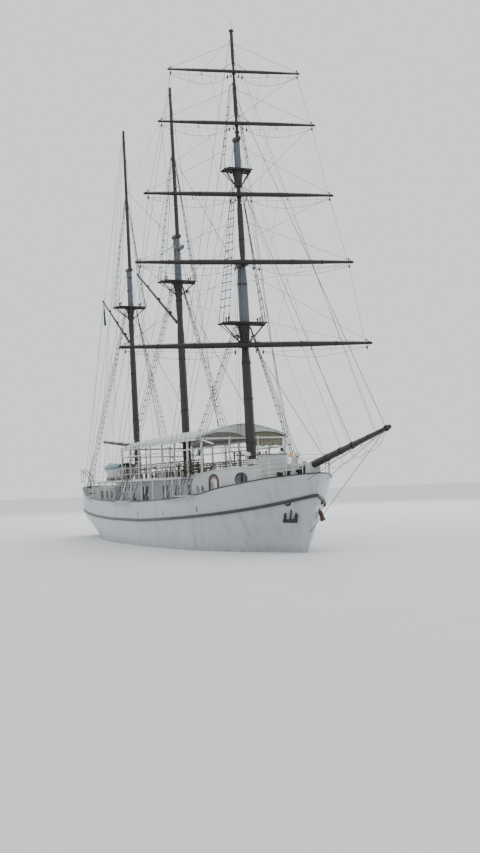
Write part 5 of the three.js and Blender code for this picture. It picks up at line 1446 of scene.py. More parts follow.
def build_front_canvas():
    """Two arched swags under the front hoop, ties along their edge, and the curtain to port."""
    rows = []
    for i in range(49):
        y = -2.26 + 4.52 * i / 48
        share = abs(y) / ROOF_HALF
        top = roof_height(share) - 0.02
        bay = (abs(y) - 1.13) / 1.13
        low = 5.56 + 0.24 * max(0.0, 1 - abs(bay) ** 2.2) ** 0.8
        low = min(low, top - 0.05)
        puff = 0.02 * math.sin(9 * y)
        rows.append([(7.345 + puff * (1 - t), y, low + (top - low) * t) for t in (0, 0.33, 0.66, 1)])
    cloth_piece("front_valance", rows, "roof_canvas", (), 0.008)
    rows = []
    for i in range(57):
        y = 0.2 + 2.02 * i / 56
        fold = 0.022 * math.sin(i * 0.9) + 0.01 * math.sin(i * 2.3 + 1)
        low = 5.07 + 0.02 * math.sin(i * 0.45)
        tall = 5.62 + 0.5 * (1 - (y / ROOF_HALF) ** 1.7) - low
        rows.append([(7.165 + fold * (1.1 - 0.6 * t), y + 0.006 * math.sin(i + 5 * t), low + tall * t)
                     for t in (0, 0.2, 0.4, 0.6, 0.8, 1)])
    cloth_piece("front_curtain", rows, "curtain", (), 0.006)
    ties = Shape()
    for y in (-2.2, -1.7, -1.2, -0.7, -0.2, 0.3, 0.8, 1.3, 1.8, 2.25):
        share = abs(y) / ROOF_HALF
        z = roof_height(share) - 0.05
        ties.tube([(7.362, y, z), (7.37, y, z - 0.03), (7.362, y, z - 0.06)], 0.008, 6)
    ties.piece("valance_ties", "manila", "ship", "wire")


# The boat's sections from the bow, which points aft: share of its length, half-breadth, and the
# heights of keel and gunwale over the promenade; then the x of bow and stern, and its middle's y
BOAT_ROWS = np.array([[0, 0.03, 0.64, 0.98], [0.06, 0.26, 0.33, 0.94], [0.2, 0.52, 0.13, 0.9],
                      [0.45, 0.7, 0.06, 0.86], [0.75, 0.7, 0.06, 0.85], [1, 0.56, 0.09, 0.86]])
BOAT = (-9.72, -6.13, -1.93)


def boat_x(share):
    """The place along the ship of a share of the boat's length."""
    return BOAT[0] + share * (BOAT[1] - BOAT[0])


def boat_half(half, share):
    """Half-breadth of the boat's skin at a share of its height, under a gunwale's half-breadth."""
    if share < 0.45:
        return half * 0.75 * math.sin(share / 0.45 * math.pi / 2) ** 0.9
    return half * (0.75 + 0.25 * math.sin((share - 0.45) / 0.55 * math.pi / 2))


def build_boat():
    """A clinker boat: overlapping strakes under a laced cover, with a rubbing band and keel."""
    shape, trim = Shape(), Shape()
    spans = smooth_rows(BOAT_ROWS, np.linspace(0, 5, 41))
    base = PROMENADE_TOP
    strakes = 7
    for side in (-1, 1):
        for strake in range(strakes):
            rows = []
            for share, half, low, high in spans:
                x = boat_x(share)
                line = []
                for part in (0.0, 0.5, 1.0):
                    s = (strake + part) / strakes
                    y = boat_half(half, s)
                    z = low + (high - low) * (s ** 1.5)
                    lap = 0.012 * (1 - part)
                    line.append((x, BOAT[2] + side * (y + lap), base + z - 0.004 * (1 - part)))
                line.append((x, line[-1][1] - side * 0.012, line[-1][2]))
                rows.append(line)
            shape.grid(rows)
        rail = [(boat_x(s), BOAT[2] + side * (half + 0.018), base + high - 0.02) for s, half, _low,
                high in spans]
        trim.tube(rail, 0.028, 8)
    last = spans[-1]
    stern = []
    for k in range(13):
        s = k / 12
        stern.append((boat_half(last[1], s), last[2] + (last[3] - last[2]) * s ** 1.5))
    outline = [(y, z) for y, z in stern] + [(-y, z) for y, z in reversed(stern[1:])]
    shape.prism(outline, lambda u, v, w: Vector((BOAT[1] - 0.002 + w, BOAT[2] + u, base + v)), 0.03)
    keel = [(boat_x(s), BOAT[2], base + low + 0.012) for s, _h, low, _t in spans[2:]]
    trim.tube(keel, 0.03, 6)
    shape.piece("boat_planking", "white_paint", "ship", "white_paint", angle=25, replaces=("ships_boat",))
    trim.piece("boat_rubbing_band", "roof_paint", "ship", "white_paint")
    rng = random.Random(3)
    waves = [(rng.uniform(1, 3), rng.uniform(2, 7), rng.uniform(0, 6.28)) for _ in range(7)]
    rows = []
    for share, half, _low, high in smooth_rows(BOAT_ROWS, np.linspace(0.03, 4.98, 61)):
        x = boat_x(share)
        row = []
        for k in range(-12, 13):
            s = k / 12
            if abs(s) > 0.8:
                y = half + 0.052
                z = high - 0.1 + 0.1 * (1 - abs(s)) / 0.2
            else:
                y = (half + 0.052) * abs(s) / 0.8
                z = high + 0.235 * (1 - (abs(s) / 0.8) ** 2.2)
            fold = sum(math.sin(a * 2.6 * x + b * s + c) for a, b, c in waves) / 7
            z += 0.035 * fold * (1 if abs(s) < 0.8 else 0.3)
            y += 0.014 * fold if abs(s) >= 0.8 else 0
            row.append((x, BOAT[2] + math.copysign(y, s) if k else BOAT[2], base + min(z, high + 0.245)))
        rows.append(row)
    cloth_piece("boat_canvas_cover", rows, "boat_cover", (), 0.008)
    lacing = Rope()
    for side in (-1, 1):
        points = []
        for i, (share, half, _low, high) in enumerate(smooth_rows(BOAT_ROWS, np.linspace(0.3, 4.9, 40))):
            x = boat_x(share)
            points.append((x, BOAT[2] + side * (half + 0.066), base + high - (0.09 if i % 2 else 0.17)))
        lacing.run(points, 0.006)
    lacing.piece("boat_cover_lacing", "manila", "ship", "wire", 6)


# Masts, tops and spars

def build_masts():
    for node in NODES:
        mast = node.split("_")[0]
        if mast in MAST_X and node.endswith(("_mast", "_topmast")):
            ahead = UPPER[node][1] if node in UPPER else 0.0
            more = SWELL if node.endswith("lower_mast") else SWELL_UP
            dress(node, mast + "_mast", 0.008, 40, swell=(mast, ahead, more))
        elif node.endswith(("_yard", "_gaff", "_boom")):
            dress(node, "spar", 0.006, 40)
    build_tops()
    bands, whites, gear = Shape(), Shape(), Shape()
    for mast, heights, foot, cap, r0, r1 in (("fore", (5.2, 7.4, 9.2, 10.85, 13.2), 1.5, 14.15, 0.232, 0.17),
                                             ("main", (4.4, 7.5, 10.5, 13.9, 16.2), 1.25, 17.66, 0.22, 0.15),
                                             ("mizzen", (4.3, 7.6, 10.6, 13.8, 16.1), 1.3, 17.47, 0.2, 0.13)):
        for z in heights:
            r = r0 + (r1 - r0) * (z - foot) / (cap - foot) + SWELL
            bands.hoop(mast_at(mast, z), UPRIGHT, (-0.05, 0.05), r - 0.01, r + 0.012, 20)
        boot = mast_at(mast, {"fore": 4.2, "main": 3.72, "mizzen": 3.72}[mast])
        r = r0 + (r1 - r0) * (boot.z - foot) / (cap - foot) + SWELL
        whites.turned([(-0.1, r + 0.075), (0.02, r + 0.07), (0.09, r + 0.03), (0.16, r + 0.006),
                       (0.16, r - 0.01)], boot, UPRIGHT, 24)
    for name, (mast, ahead, foot, top, r0, r1) in UPPER.items():
        count = int((top - foot) // 2.3)
        for k in range(1, count + 1):
            z = foot + 2.3 * k - 0.4
            r = r0 + (r1 - r0) * (z - foot) / (top - foot) + SWELL_UP
            bands.hoop(mast_at(mast, z, ahead), UPRIGHT, (-0.035, 0.035), r - 0.008, r + 0.01, 16)
    for mast, z, ahead, reach in (("main", 15.12, 0.0, 0.72), ("mizzen", 15.12, 0.0, 0.68),
                                  ("fore", 11.34, 0.0, 0.86)):
        for side in (-1, 1):
            for shift in (-0.2, 0.12):
                post = mast_at(mast, z) + Vector((shift, side * reach, -0.1))
                gear.turned([(0, 0.045), (0.05, 0.04), (0.16, 0.03), (0.2, 0.045), (0.28, 0.045),
                             (0.3, 0.02)], post, (0, 0, 1), 10)
    bands.piece("mast_bands", "iron", "ship", "iron")
    whites.piece("mast_boots", "white_paint", "ship", "white_paint")
    gear.piece("top_bitts", "iron", "ship", "iron")
    for name in YARDS:
        hoops = Shape()
        for side in (-1, 1):
            for s in (0.07, 0.42, 0.7, 0.97):
                r = yard_radius(name, s) + 0.006
                a, b = yard_at(name, side * (s - 0.004)), yard_at(name, side * (s + 0.004))
                hoops.hoop(a, b - a, (0, (b - a).length * 1.6), r * 0.96, r + 0.008, 14)
        hoops.piece(name + "_hoops", "iron", name, "iron")


# Tops and crosstrees: mast, its line's shift, height, mast radius, reach, struts' drop, front bar's shift
TOPS = {
    "fore_top": ("fore", 0.0, 11.19, 0.19, 1.27, 1.0, 0.55),
    "fore_crosstrees": ("fore", 0.34, 19.02, 0.15, 0.79, 0.78, 0.373),
    "main_crosstrees": ("main", 0.0, 15.01, 0.165, 1.15, 0.74, 0.465),
    "mizzen_crosstrees": ("mizzen", 0.0, 14.99, 0.148, 1.11, 0.74, 0.432),
}


def build_tops():
    """Trestle trees, athwart bars that shorten forward, edge bars, cheeks and struts."""
    for node, (mast, base, z, r, reach, drop, front) in TOPS.items():
        shape = Shape()
        centre = mast_at(mast, z, base)
        x = centre.x
        reaches = ((-0.33, reach), (0.0, reach * 0.92), (front, reach * 0.8))
        for shift, half in reaches:
            deep = 0.06 if shift == 0.0 else 0.045
            shape.box((x + shift - 0.055, -half, z - deep), (x + shift + 0.055, half, z + deep - 0.01))
        for side in (-1, 1):
            for (s0, h0), (s1, h1) in zip(reaches, reaches[1:]):
                shape.tube([(x + s0, side * (h0 - 0.03), z), (x + s1, side * (h1 - 0.03), z)], 0.026, 8)
            y = side * (r + 0.055)
            shape.box((x - 0.42, y - 0.045, z - 0.09), (x + front + 0.075, y + 0.045, z + 0.035))
            foot = mast_at(mast, z - drop, base) + Vector((0, side * (r + 0.025), 0))
            shape.tube([foot, (x, side * (reach * 0.92 - 0.06), z - 0.03)], [0.036, 0.03], 8)
            shape.tube([foot, (x - 0.33, side * (reach - 0.1), z - 0.03)], [0.026, 0.022], 8)
            for k in range(5):
                t = 0.34 + 0.14 * k
                shape.box((x - 0.28, side * reach * t - 0.035, z + 0.036),
                          (x + front - 0.04, side * reach * t + 0.035, z + 0.054))
        low = mast_at(mast, z - drop, base)
        shape.turned([(-0.09, r + 0.03), (-0.08, r + 0.05), (0.08, r + 0.05), (drop * 0.4, r + 0.06),
                      (drop - 0.12, r + 0.13), (drop - 0.02, r + 0.13)], low, UPRIGHT, 20)
        shape.box((x + front - 0.3, -r - 0.06, z - 0.09), (x + front - 0.05, r + 0.06, z + 0.03))
        shape.piece(node + "_timbers", "iron", BODY_OF[node], SLOT_OF[node], bevel=0.006, replaces=(node,))


# How much the bowsprit rises for each metre forward
STEEVE = 0.19369


def build_stays():
    for node in NODES:
        if node.endswith("_stay") or node == "bobstay":
            dress(node, "wire", 0.0, 50)
    wires, whiskers = Rope(), Shape()
    sprit = lambda x, y=0.0, up=0.0: Vector((x, y, 3.584 + STEEVE * (x - 13.15) + up))
    for side in (-1, 1):
        shackle = Vector((15.1, side * (rail_half(15.1) + 0.01), rail_top(15.1) - 0.3))
        wires.run([sprit(20.9, side * 0.1), shackle], 0.012)
    for x_low, z_top, ahead in ((17.4, 18.6, 0.34), (20.2, 25.4, 0.55)):
        wires.run([sprit(x_low, 0, 0.14), mast_at("fore", z_top, ahead) + Vector((0.1, 0, 0))], 0.009)
    for x, r in ((16.2, 0.172), (17.4, 0.158), (19.8, 0.115)):
        whiskers.hoop(sprit(x), Vector((1, 0, STEEVE)), (-0.04, 0.04), r - 0.02, r, 18)
    wires.piece("bowsprit_shrouds", "wire", "ship", "wire", 6)
    whiskers.piece("bowsprit_hoops", "iron", "ship", "iron")
    dress("bowsprit", "spar", 0.006, 40)
    foot = Rope()
    for side in (-1, 1):
        for k in range(5):
            a = sprit(15.8 + k, side * 0.42, -0.36)
            b = sprit(16.8 + k, side * 0.42, -0.36) if k < 4 else sprit(16.8 + k, side * 0.126, -0.05)
            foot.sag(a, b, 0.009, 0.1, 6)
            foot.run([a, sprit(15.8 + k, side * 0.1, -0.05)], 0.006)
    foot.piece("bowsprit_footropes", "tarred", "ship", "wire", 5)


def build_davits():
    for node, x, y, turn in (("davit_forward", -12.95, -2.14675, 0.0),
                             ("davit_aft", -15.85, -1.5505, math.radians(10))):
        dress(node, "frame_paint", 0.0, 40)
        head = Vector((x, y, 4.5)) + Matrix.Rotation(turn, 3, "Z") @ Vector((0, -0.68, 0))
        falls, blocks, eye = Rope(), pulley_blocks(), Shape()
        turns = np.linspace(0, 2 * math.pi, 12, endpoint=False)
        eye.tube([head + Vector((0.03 * math.cos(t), 0, -0.07 + 0.03 * math.sin(t))) for t in turns],
                 0.008, 6, ring=True)
        blocks.put(head + Vector((0, 0, -0.22)), (0, 0, 1), size=0.11)
        blocks.put(head + Vector((0, 0, -0.78)), (0, 0, 1), size=0.1)
        for dx in (-0.028, 0.0, 0.028):
            falls.run([head + Vector((dx, 0, -0.26)), head + Vector((dx, 0, -0.74))], 0.008)
        falls.run([head + Vector((0.02, 0.03, -0.2)), Vector((x, y, 3.55)) + Vector((0.058, 0.02, 0)),
                   Vector((x, y, 3.3)) + Vector((0.062, 0.03, 0))], 0.008)
        falls.piece(node + "_falls", "manila", node, "wire", 6)
        blocks.piece(node + "_blocks", "white_paint", node, "white_paint")
        eye.piece(node + "_eye", "zinc", node, "iron")
        bands = Shape()
        for z in (3.35, 3.55):
            bands.hoop((x, y, z), (0, 0, 1), (-0.02, 0.02), 0.048, 0.058, 16)
        bands.piece(node + "_bands", "iron", node, "iron")


def coil_of_rope(rope, centre, radius, turns=5, thick=0.012):
    """A flat coil on the deck, wound inwards."""
    points = []
    for i in range(turns * 16 + 1):
        t = 2 * math.pi * i / 16
        grow = radius - 0.35 * radius * (i / (turns * 16))
        high = thick + 0.35 * thick * math.sin(i * 0.7)
        points.append(Vector(centre) + Vector((grow * math.cos(t), grow * math.sin(t), high)))
    rope.run(points, thick)


def pin_rail(shape, pins, a, b, z, count):
    """A rail between two points, and the places of its belaying pins."""
    a, b = Vector((a[0], a[1], z)), Vector((b[0], b[1], z))
    way = (b - a).normalized()
    side = Vector((-way.y, way.x, 0)) * 0.05
    shape.prism([(0, -0.05), ((b - a).length, -0.05), ((b - a).length, 0.05), (0, 0.05)],
                lambda u, v, w: a + way * u + side * (v / 0.05) + Vector((0, 0, w)), 0.045)
    for k in range(count):
        pins.put(a + (b - a) * ((k + 0.7) / (count + 0.4)), (0, 0, 1))


def build_deck_gear():
    for node, key, bevel in (("windlass_drum", "iron", 0.006), ("helm_pedestal", "varnish", 0.01),
                             ("steering_wheel", "teak", 0.004), ("anchor_starboard", "iron", 0.012),
                             ("anchor_port", "rusty_iron", 0.012), ("rudder", "hull_paint", 0.015),
                             ("propeller", "bronze", 0.008)):
        dress(node, key, bevel)
    iron, wood, white, brass, pin = Shape(), Shape(), Shape(), Shape(), Shape()
    pin.turned([(-0.13, 0.008), (-0.12, 0.013), (0.04, 0.013), (0.06, 0.022), (0.12, 0.026), (0.17, 0.012)],
               (0, 0, 0), (0, 0, 1), 8)
    pins = Repeats(pin)
    for x in (11.9, -16.4, -10.2, 8.9):
        for side in (-1, 1):
            y = side * (rail_half(x) - (0.85 if x > 11 else 0.32))
            z = deck_at(x, y)
            iron.box((x - 0.28, y - 0.07, z - 0.01), (x + 0.28, y + 0.07, z + 0.035))
            for dx in (-0.16, 0.16):
                iron.turned([(0.02, 0.06), (0.08, 0.05), (0.3, 0.05), (0.34, 0.066), (0.38, 0.066),
                             (0.4, 0.04)], (x + dx, y, z), (0, 0, 1), 16)
    for mast, x, half in (("fore", 8.02, 0.7), ("main", -0.75, 0.72), ("mizzen", -10.1, 0.7)):
        base = 3.9 if mast == "fore" else PROMENADE_TOP
        for dx in (-0.36, 0.36):
            for y in (-half, half):
                wood.turned([(0, 0.05), (0.1, 0.04), (0.75, 0.036), (0.8, 0.05), (0.86, 0.05), (0.9, 0.02)],
                            (x + dx, y, base - 0.02), (0, 0, 1), 12)
            pin_rail(wood, pins, (x + dx, -half), (x + dx, half), base + 0.66, 6)
    for side in (-1, 1):
        for lows, highs, count in ((6.9, 8.0, 7), (-2.6, -0.7, 10), (-12.2, -10.6, 9)):
            a, b = (Vector((x, side * (rail_half(x) - 0.11))) for x in (lows, highs))
            pin_rail(wood, pins, a, b, rail_top((lows + highs) / 2) - 0.3, count)
    bell = Vector((12.62, 0, 4.05))
    brass.turned([(0, 0.02), (0.03, 0.05), (0.07, 0.075), (0.16, 0.088), (0.21, 0.115), (0.225, 0.125),
                  (0.225, 0.105), (0.1, 0.06)], bell + Vector((0, 0, 0.5)), (0, 0, -1), 24)
    frame_bends = ((-0.2, -0.45), (-0.2, 0.45), (-0.12, 0.55), (0.12, 0.55), (0.2, 0.45), (0.2, -0.45))
    white.tube([bell + Vector((0, y, z)) for y, z in frame_bends], 0.022, 8)
    for x, y, z, r, h in ((9.6, 0.9, 3.9, 0.09, 0.7), (9.6, -0.9, 3.9, 0.09, 0.7),
                          (-11.6, 0.75, 3.33, 0.075, 0.55), (-11.6, -0.75, 3.33, 0.075, 0.55),
                          (11.6, 0.8, 3.98, 0.08, 0.5)):
        white.turned([(-0.05, r * 1.2), (0.03, r * 1.15), (0.05, r)], (x, y, z), (0, 0, 1), 18)
        path = [(x, y, z), (x, y, z + h * 0.6), (x + 0.05, y, z + h * 0.85), (x + 0.16, y, z + h)]
        white.tube(path, [r * 0.8, r * 0.8, r, r * 1.7], 16)
    for x0, x1, y0, y1, z, top in ((10.6, 11.5, -0.75, 0.35, 3.9, 4.5),
                                   (-9.4, -8.8, 0.9, 2.0, PROMENADE_TOP, 4.15),
                                   (-7.7, -6.9, 1.3, 2.2, PROMENADE_TOP, 4.1)):
        white.box((x0, y0, z), (x1, y1, top))
        wood.box((x0 - 0.04, y0 - 0.04, top), (x1 + 0.04, y1 + 0.04, top + 0.035))
        brass.box(((x0 + x1) / 2 - 0.05, y0 - 0.014, top - 0.12),
                  ((x0 + x1) / 2 + 0.05, y0 - 0.001, top - 0.04))
    brass.turned([(0, 0.1), (0.02, 0.115), (0.1, 0.12), (0.17, 0.09), (0.2, 0.03)], (-15.65, 0, 3.06),
                 (0, 0, 1), 24)
    iron.piece("mooring_bitts", "iron", "ship", "iron", bevel=0.006)
    wood.piece("pin_rails_and_lids", "teak", "ship", "dark_wood", bevel=0.003)
    pins.piece("belaying_pins", "teak", "ship", "dark_wood")
    white.piece("ventilators_and_lockers", "white_paint", "ship", "white_paint", bevel=0.006)
    brass.piece("bell_and_compass", "brass", "ship", "iron", bevel=0.0)
    ropes = Rope()
    for x, y, z, r in ((12.0, 1.1, 3.99, 0.24), (11.9, -0.9, 3.99, 0.2), (-17.1, 0.5, 2.01, 0.26),
                       (-9.9, 1.9, 3.61, 0.22), (7.6, 1.6, 3.81, 0.2), (9.9, -1.2, 3.93, 0.18)):
        coil_of_rope(ropes, (x, y, z), r)
    ropes.piece("rope_coils", "manila", "ship", "wire", 6)
    build_lifebuoys()
    build_lamps()
    build_chains()


def build_lifebuoys():
    rings, grab = Shape(), Rope()
    spots = []
    for x, side in ((-5.2, 1), (1.2, 1)):
        y = side * (rail_half(x) - 0.13 + 0.07)
        spots.append((Vector((x, y, 4.15)), Vector((0, side, 0))))
    spots.append((Vector((-10.36, 1.2, 4.15)), Vector((-1, 0, 0))))
    for centre, out in spots:
        across = out.cross(Vector((0, 0, 1)))
        for k in range(8):
            path = []
            for j in range(6):
                t = 2 * math.pi * (k + j / 5) / 8
                path.append(centre + across * (0.29 * math.cos(t)) + Vector((0, 0, 0.29 * math.sin(t))))
            rings.tube(path, 0.055, 12, mark=k % 2)
        loop = []
        for j in range(33):
            t = 2 * math.pi * j / 32
            sway = 0.365 + 0.02 * math.cos(4 * t)
            loop.append(centre + across * (sway * math.cos(t)) + Vector((0, 0, sway * math.sin(t))))
        grab.run(loop, 0.006)
    rings.piece("lifebuoys", ["lifebuoy", "orange"], "ship", "white_paint")
    grab.piece("lifebuoy_lines", "manila", "ship", "wire", 6)


def build_lamps():
    cases, glass = Shape(), Shape()
    for side in (-1, 1):
        for mast, z, wide in (("main", 14.4, 0.5), ("fore", 10.5, 0.42)):
            p = mast_at(mast, z) + Vector((0.1, side * wide, 0))
            cases.tube([mast_at(mast, z + 0.25) + Vector((0.05, side * 0.12, 0)), p + Vector((0, 0, 0.14))],
                       0.016, 8)
            cases.turned([(0, 0.03), (0.04, 0.1), (0.14, 0.12), (0.16, 0.125)], p + Vector((-0.05, 0, 0.1)),
                         (0.5, side * 0.2, -0.85), 18)
            glass.turned([(0.155, 0.115), (0.165, 0.1), (0.17, 0.04)], p + Vector((-0.05, 0, 0.1)),
                         (0.5, side * 0.2, -0.85), 18)
        p = Vector((6.9, side * 2.28, 4.78))
        cases.box(p + Vector((-0.16, -0.015, -0.12)), p + Vector((0.16, 0.015, 0.18)))
        cases.box(p + Vector((-0.16, 0, -0.12)), p + Vector((0.16, side * 0.14, -0.09)))
        glass.turned([(0, 0.05), (0.03, 0.06), (0.13, 0.06), (0.16, 0.04)],
                     p + Vector((0, side * 0.07, -0.085)), (0, 0, 1), 16)
    for mast, z in (("fore", 17.2), ("main", 20.5)):
        p = mast_at(mast, z, 0.52)
        cases.turned([(0, 0.055), (0.03, 0.06), (0.04, 0.045)], p, (0, 0, 1), 14)
        glass.turned([(0.04, 0.045), (0.13, 0.045), (0.15, 0.03)], p, (0, 0, 1), 14)
        cases.turned([(0.15, 0.05), (0.18, 0.03), (0.2, 0.01)], p, (0, 0, 1), 14)
        cases.tube([p + Vector((0, 0, 0.01)), p + Vector((-0.25, 0, -0.04))], 0.014, 6)
    post = Vector((-10.15, -0.62, 3.61))
    cases.turned([(0, 0.05), (0.02, 0.05), (0.03, 0.02), (1.0, 0.018), (1.02, 0.06), (1.05, 0.07)], post,
                 (0, 0, 1), 14)
    glass.turned([(1.05, 0.065), (1.22, 0.07), (1.27, 0.04)], post, (0, 0, 1), 14)
    cases.piece("lamp_cases", "dark_paint", "ship", "iron")
    glass.piece("lamp_lenses", "lamp_glass", "ship", "white_paint")


def build_chains():
    """Anchor cables from the windlass down through the hawse pipes, link by link."""
    one, collars = Shape(), Shape()
    turns = [math.pi * j / 4 for j in range(8)]
    one.tube([(0.026 * math.sin(t), 0, 0.045 * math.cos(t)) for t in turns], 0.009, 5, ring=True)
    links = Repeats(one)
    for side in (-1, 1):
        y = side * 0.33
        path = [Vector((12.96, y, 3.735)), Vector((13.25, y, 3.33)), Vector((13.6, y, 3.235))]
        total = sum((b - a).length for a, b in zip(path, path[1:]))
        count = int(total / 0.062)
        for k in range(count):
            run = total * (k + 0.5) / count
            for a, b in zip(path, path[1:]):
                span = (b - a).length
                if run <= span:
                    break
                run -= span
            way = (b - a).normalized()
            links.put(a + way * run, way, (0, 1, 0) if k % 2 else way.cross(Vector((0, 1, 0))))
        collars.turned([(-0.01, 0.12), (0.02, 0.13), (0.05, 0.115), (0.05, 0.08), (0.0, 0.075)],
                       (13.62, y, 3.205), (0, 0, 1), 20)
    links.piece("anchor_cables", "rusty_iron", "ship", "iron")
    collars.piece("cable_collars", "iron", "ship", "iron")
    pipes = Shape()
    for side in (-1, 1):
        pipes.turned([(-0.02, 0.15), (0.02, 0.16), (0.045, 0.14), (0.045, 0.1), (0.0, 0.095)],
                     (13.86, side * 0.845, 2.26), Vector((0.62, side, 0.05)), 20)
    pipes.piece("hawse_lips", "iron", "ship", "iron")


def build_radar():
    """The scanner's housing, on its bracket in front of the mainmast."""
    shape, mount = Shape(), Shape()
    spot = Vector((mast_at("main", 16.9, 0.45).x, 0, 17.0))
    shape.turned([(-0.1, 0.12), (-0.09, 0.17), (-0.02, 0.185), (0.08, 0.18), (0.12, 0.12), (0.13, 0.05)],
                 spot, (0, 0, 1), 24)
    mount.turned([(-0.2, 0.05), (-0.11, 0.05), (-0.1, 0.1)], spot, (0, 0, 1), 16)
    shape.piece("radar_housing", "white_paint", "ship", "white_paint")
    mount.piece("radar_mount", "iron", "ship", "iron")


def build_pavilion_fittings():
    dress("pavilion_frame", "frame_paint", 0.004)
    bench, lashing, white = Shape(), Rope(), Shape()
    for y in (-0.15, -0.05, 0.05, 0.15):
        bench.box((-0.4, y - 0.043, 0.4), (0.4, y + 0.043, 0.44))
    for z in (0.58, 0.7, 0.82):
        bench.box((-0.4, -0.215, z), (0.4, -0.19, z + 0.07))
    for x in (-0.33, 0.33):
        for y in (-0.14, 0.14):
            bench.box((x - 0.02, y - 0.02, 0.0), (x + 0.02, y + 0.02, 0.4))
        bench.box((x - 0.045, -0.17, 0.36), (x + 0.045, 0.17, 0.405))
        bench.box((x * 1.09 - 0.02, -0.215, 0.38), (x * 1.09 + 0.02, -0.19, 0.9))
    seats = Repeats(bench, 0.005)
    for side in (-1, 1):
        for k in range(14):
            seats.put((-5.6 + 0.93 * k, side * 1.84, PROMENADE_TOP), (0, 0, 1), (0, side, 0))
        for x0, x1 in zip(HOOPS, HOOPS[1:]):
            for k in range(7):
                x = x0 + (x1 - x0) * (k + 0.5) / 7
                lift = -0.07 if x < -2.65 else 0.0
                lashing.run([(x, side * 2.328, 5.63 + lift), (x, side * 2.3, 5.535),
                             (x + 0.03, side * 2.328, 5.63 + lift)], 0.006)
    for x in (-3.5, -1.9, 2.3, 4.3):
        white.box((x - 0.45, -0.36, PROMENADE_TOP + 0.7), (x + 0.45, 0.36, PROMENADE_TOP + 0.735))
        for dx in (-0.36, 0.36):
            for y in (-0.25, 0.25):
                white.box((x + dx - 0.03, y - 0.03, PROMENADE_TOP),
                          (x + dx + 0.03, y + 0.03, PROMENADE_TOP + 0.7))
    seats.piece("promenade_benches", "teak", "ship", "dark_wood")
    white.piece("promenade_tables", "white_paint", "ship", "white_paint", bevel=0.005)
    lashing.piece("roof_lacing", "manila", "ship", "wire", 5)


# Gaffs and boom with their gear

# Mast, the pivot's height and its distance abaft the mast's line, the end's x and height, radii
GAFFS = {
    "main_gaff": ("main", 12.7, 0.26, (-9.02, 16.93), 0.095, 0.055),
    "mizzen_gaff": ("mizzen", 12.73, 0.245, (-16.93, 16.52), 0.085, 0.05),
    "mizzen_boom": ("mizzen", 5.89, 0.29, (-17.6, 6.48), 0.11, 0.078),
}


def gaff_at(name, share, side=0.0, up=0.0):
    """A point by a gaff or the boom, at a share of its length."""
    mast, z, reach, peak, _r0, _r1 = GAFFS[name]
    root = mast_at(mast, z) + Vector((-reach, 0, 0))
    end = Vector((peak[0], 0, peak[1]))
    return root.lerp(end, share) + Vector((0, side, up))


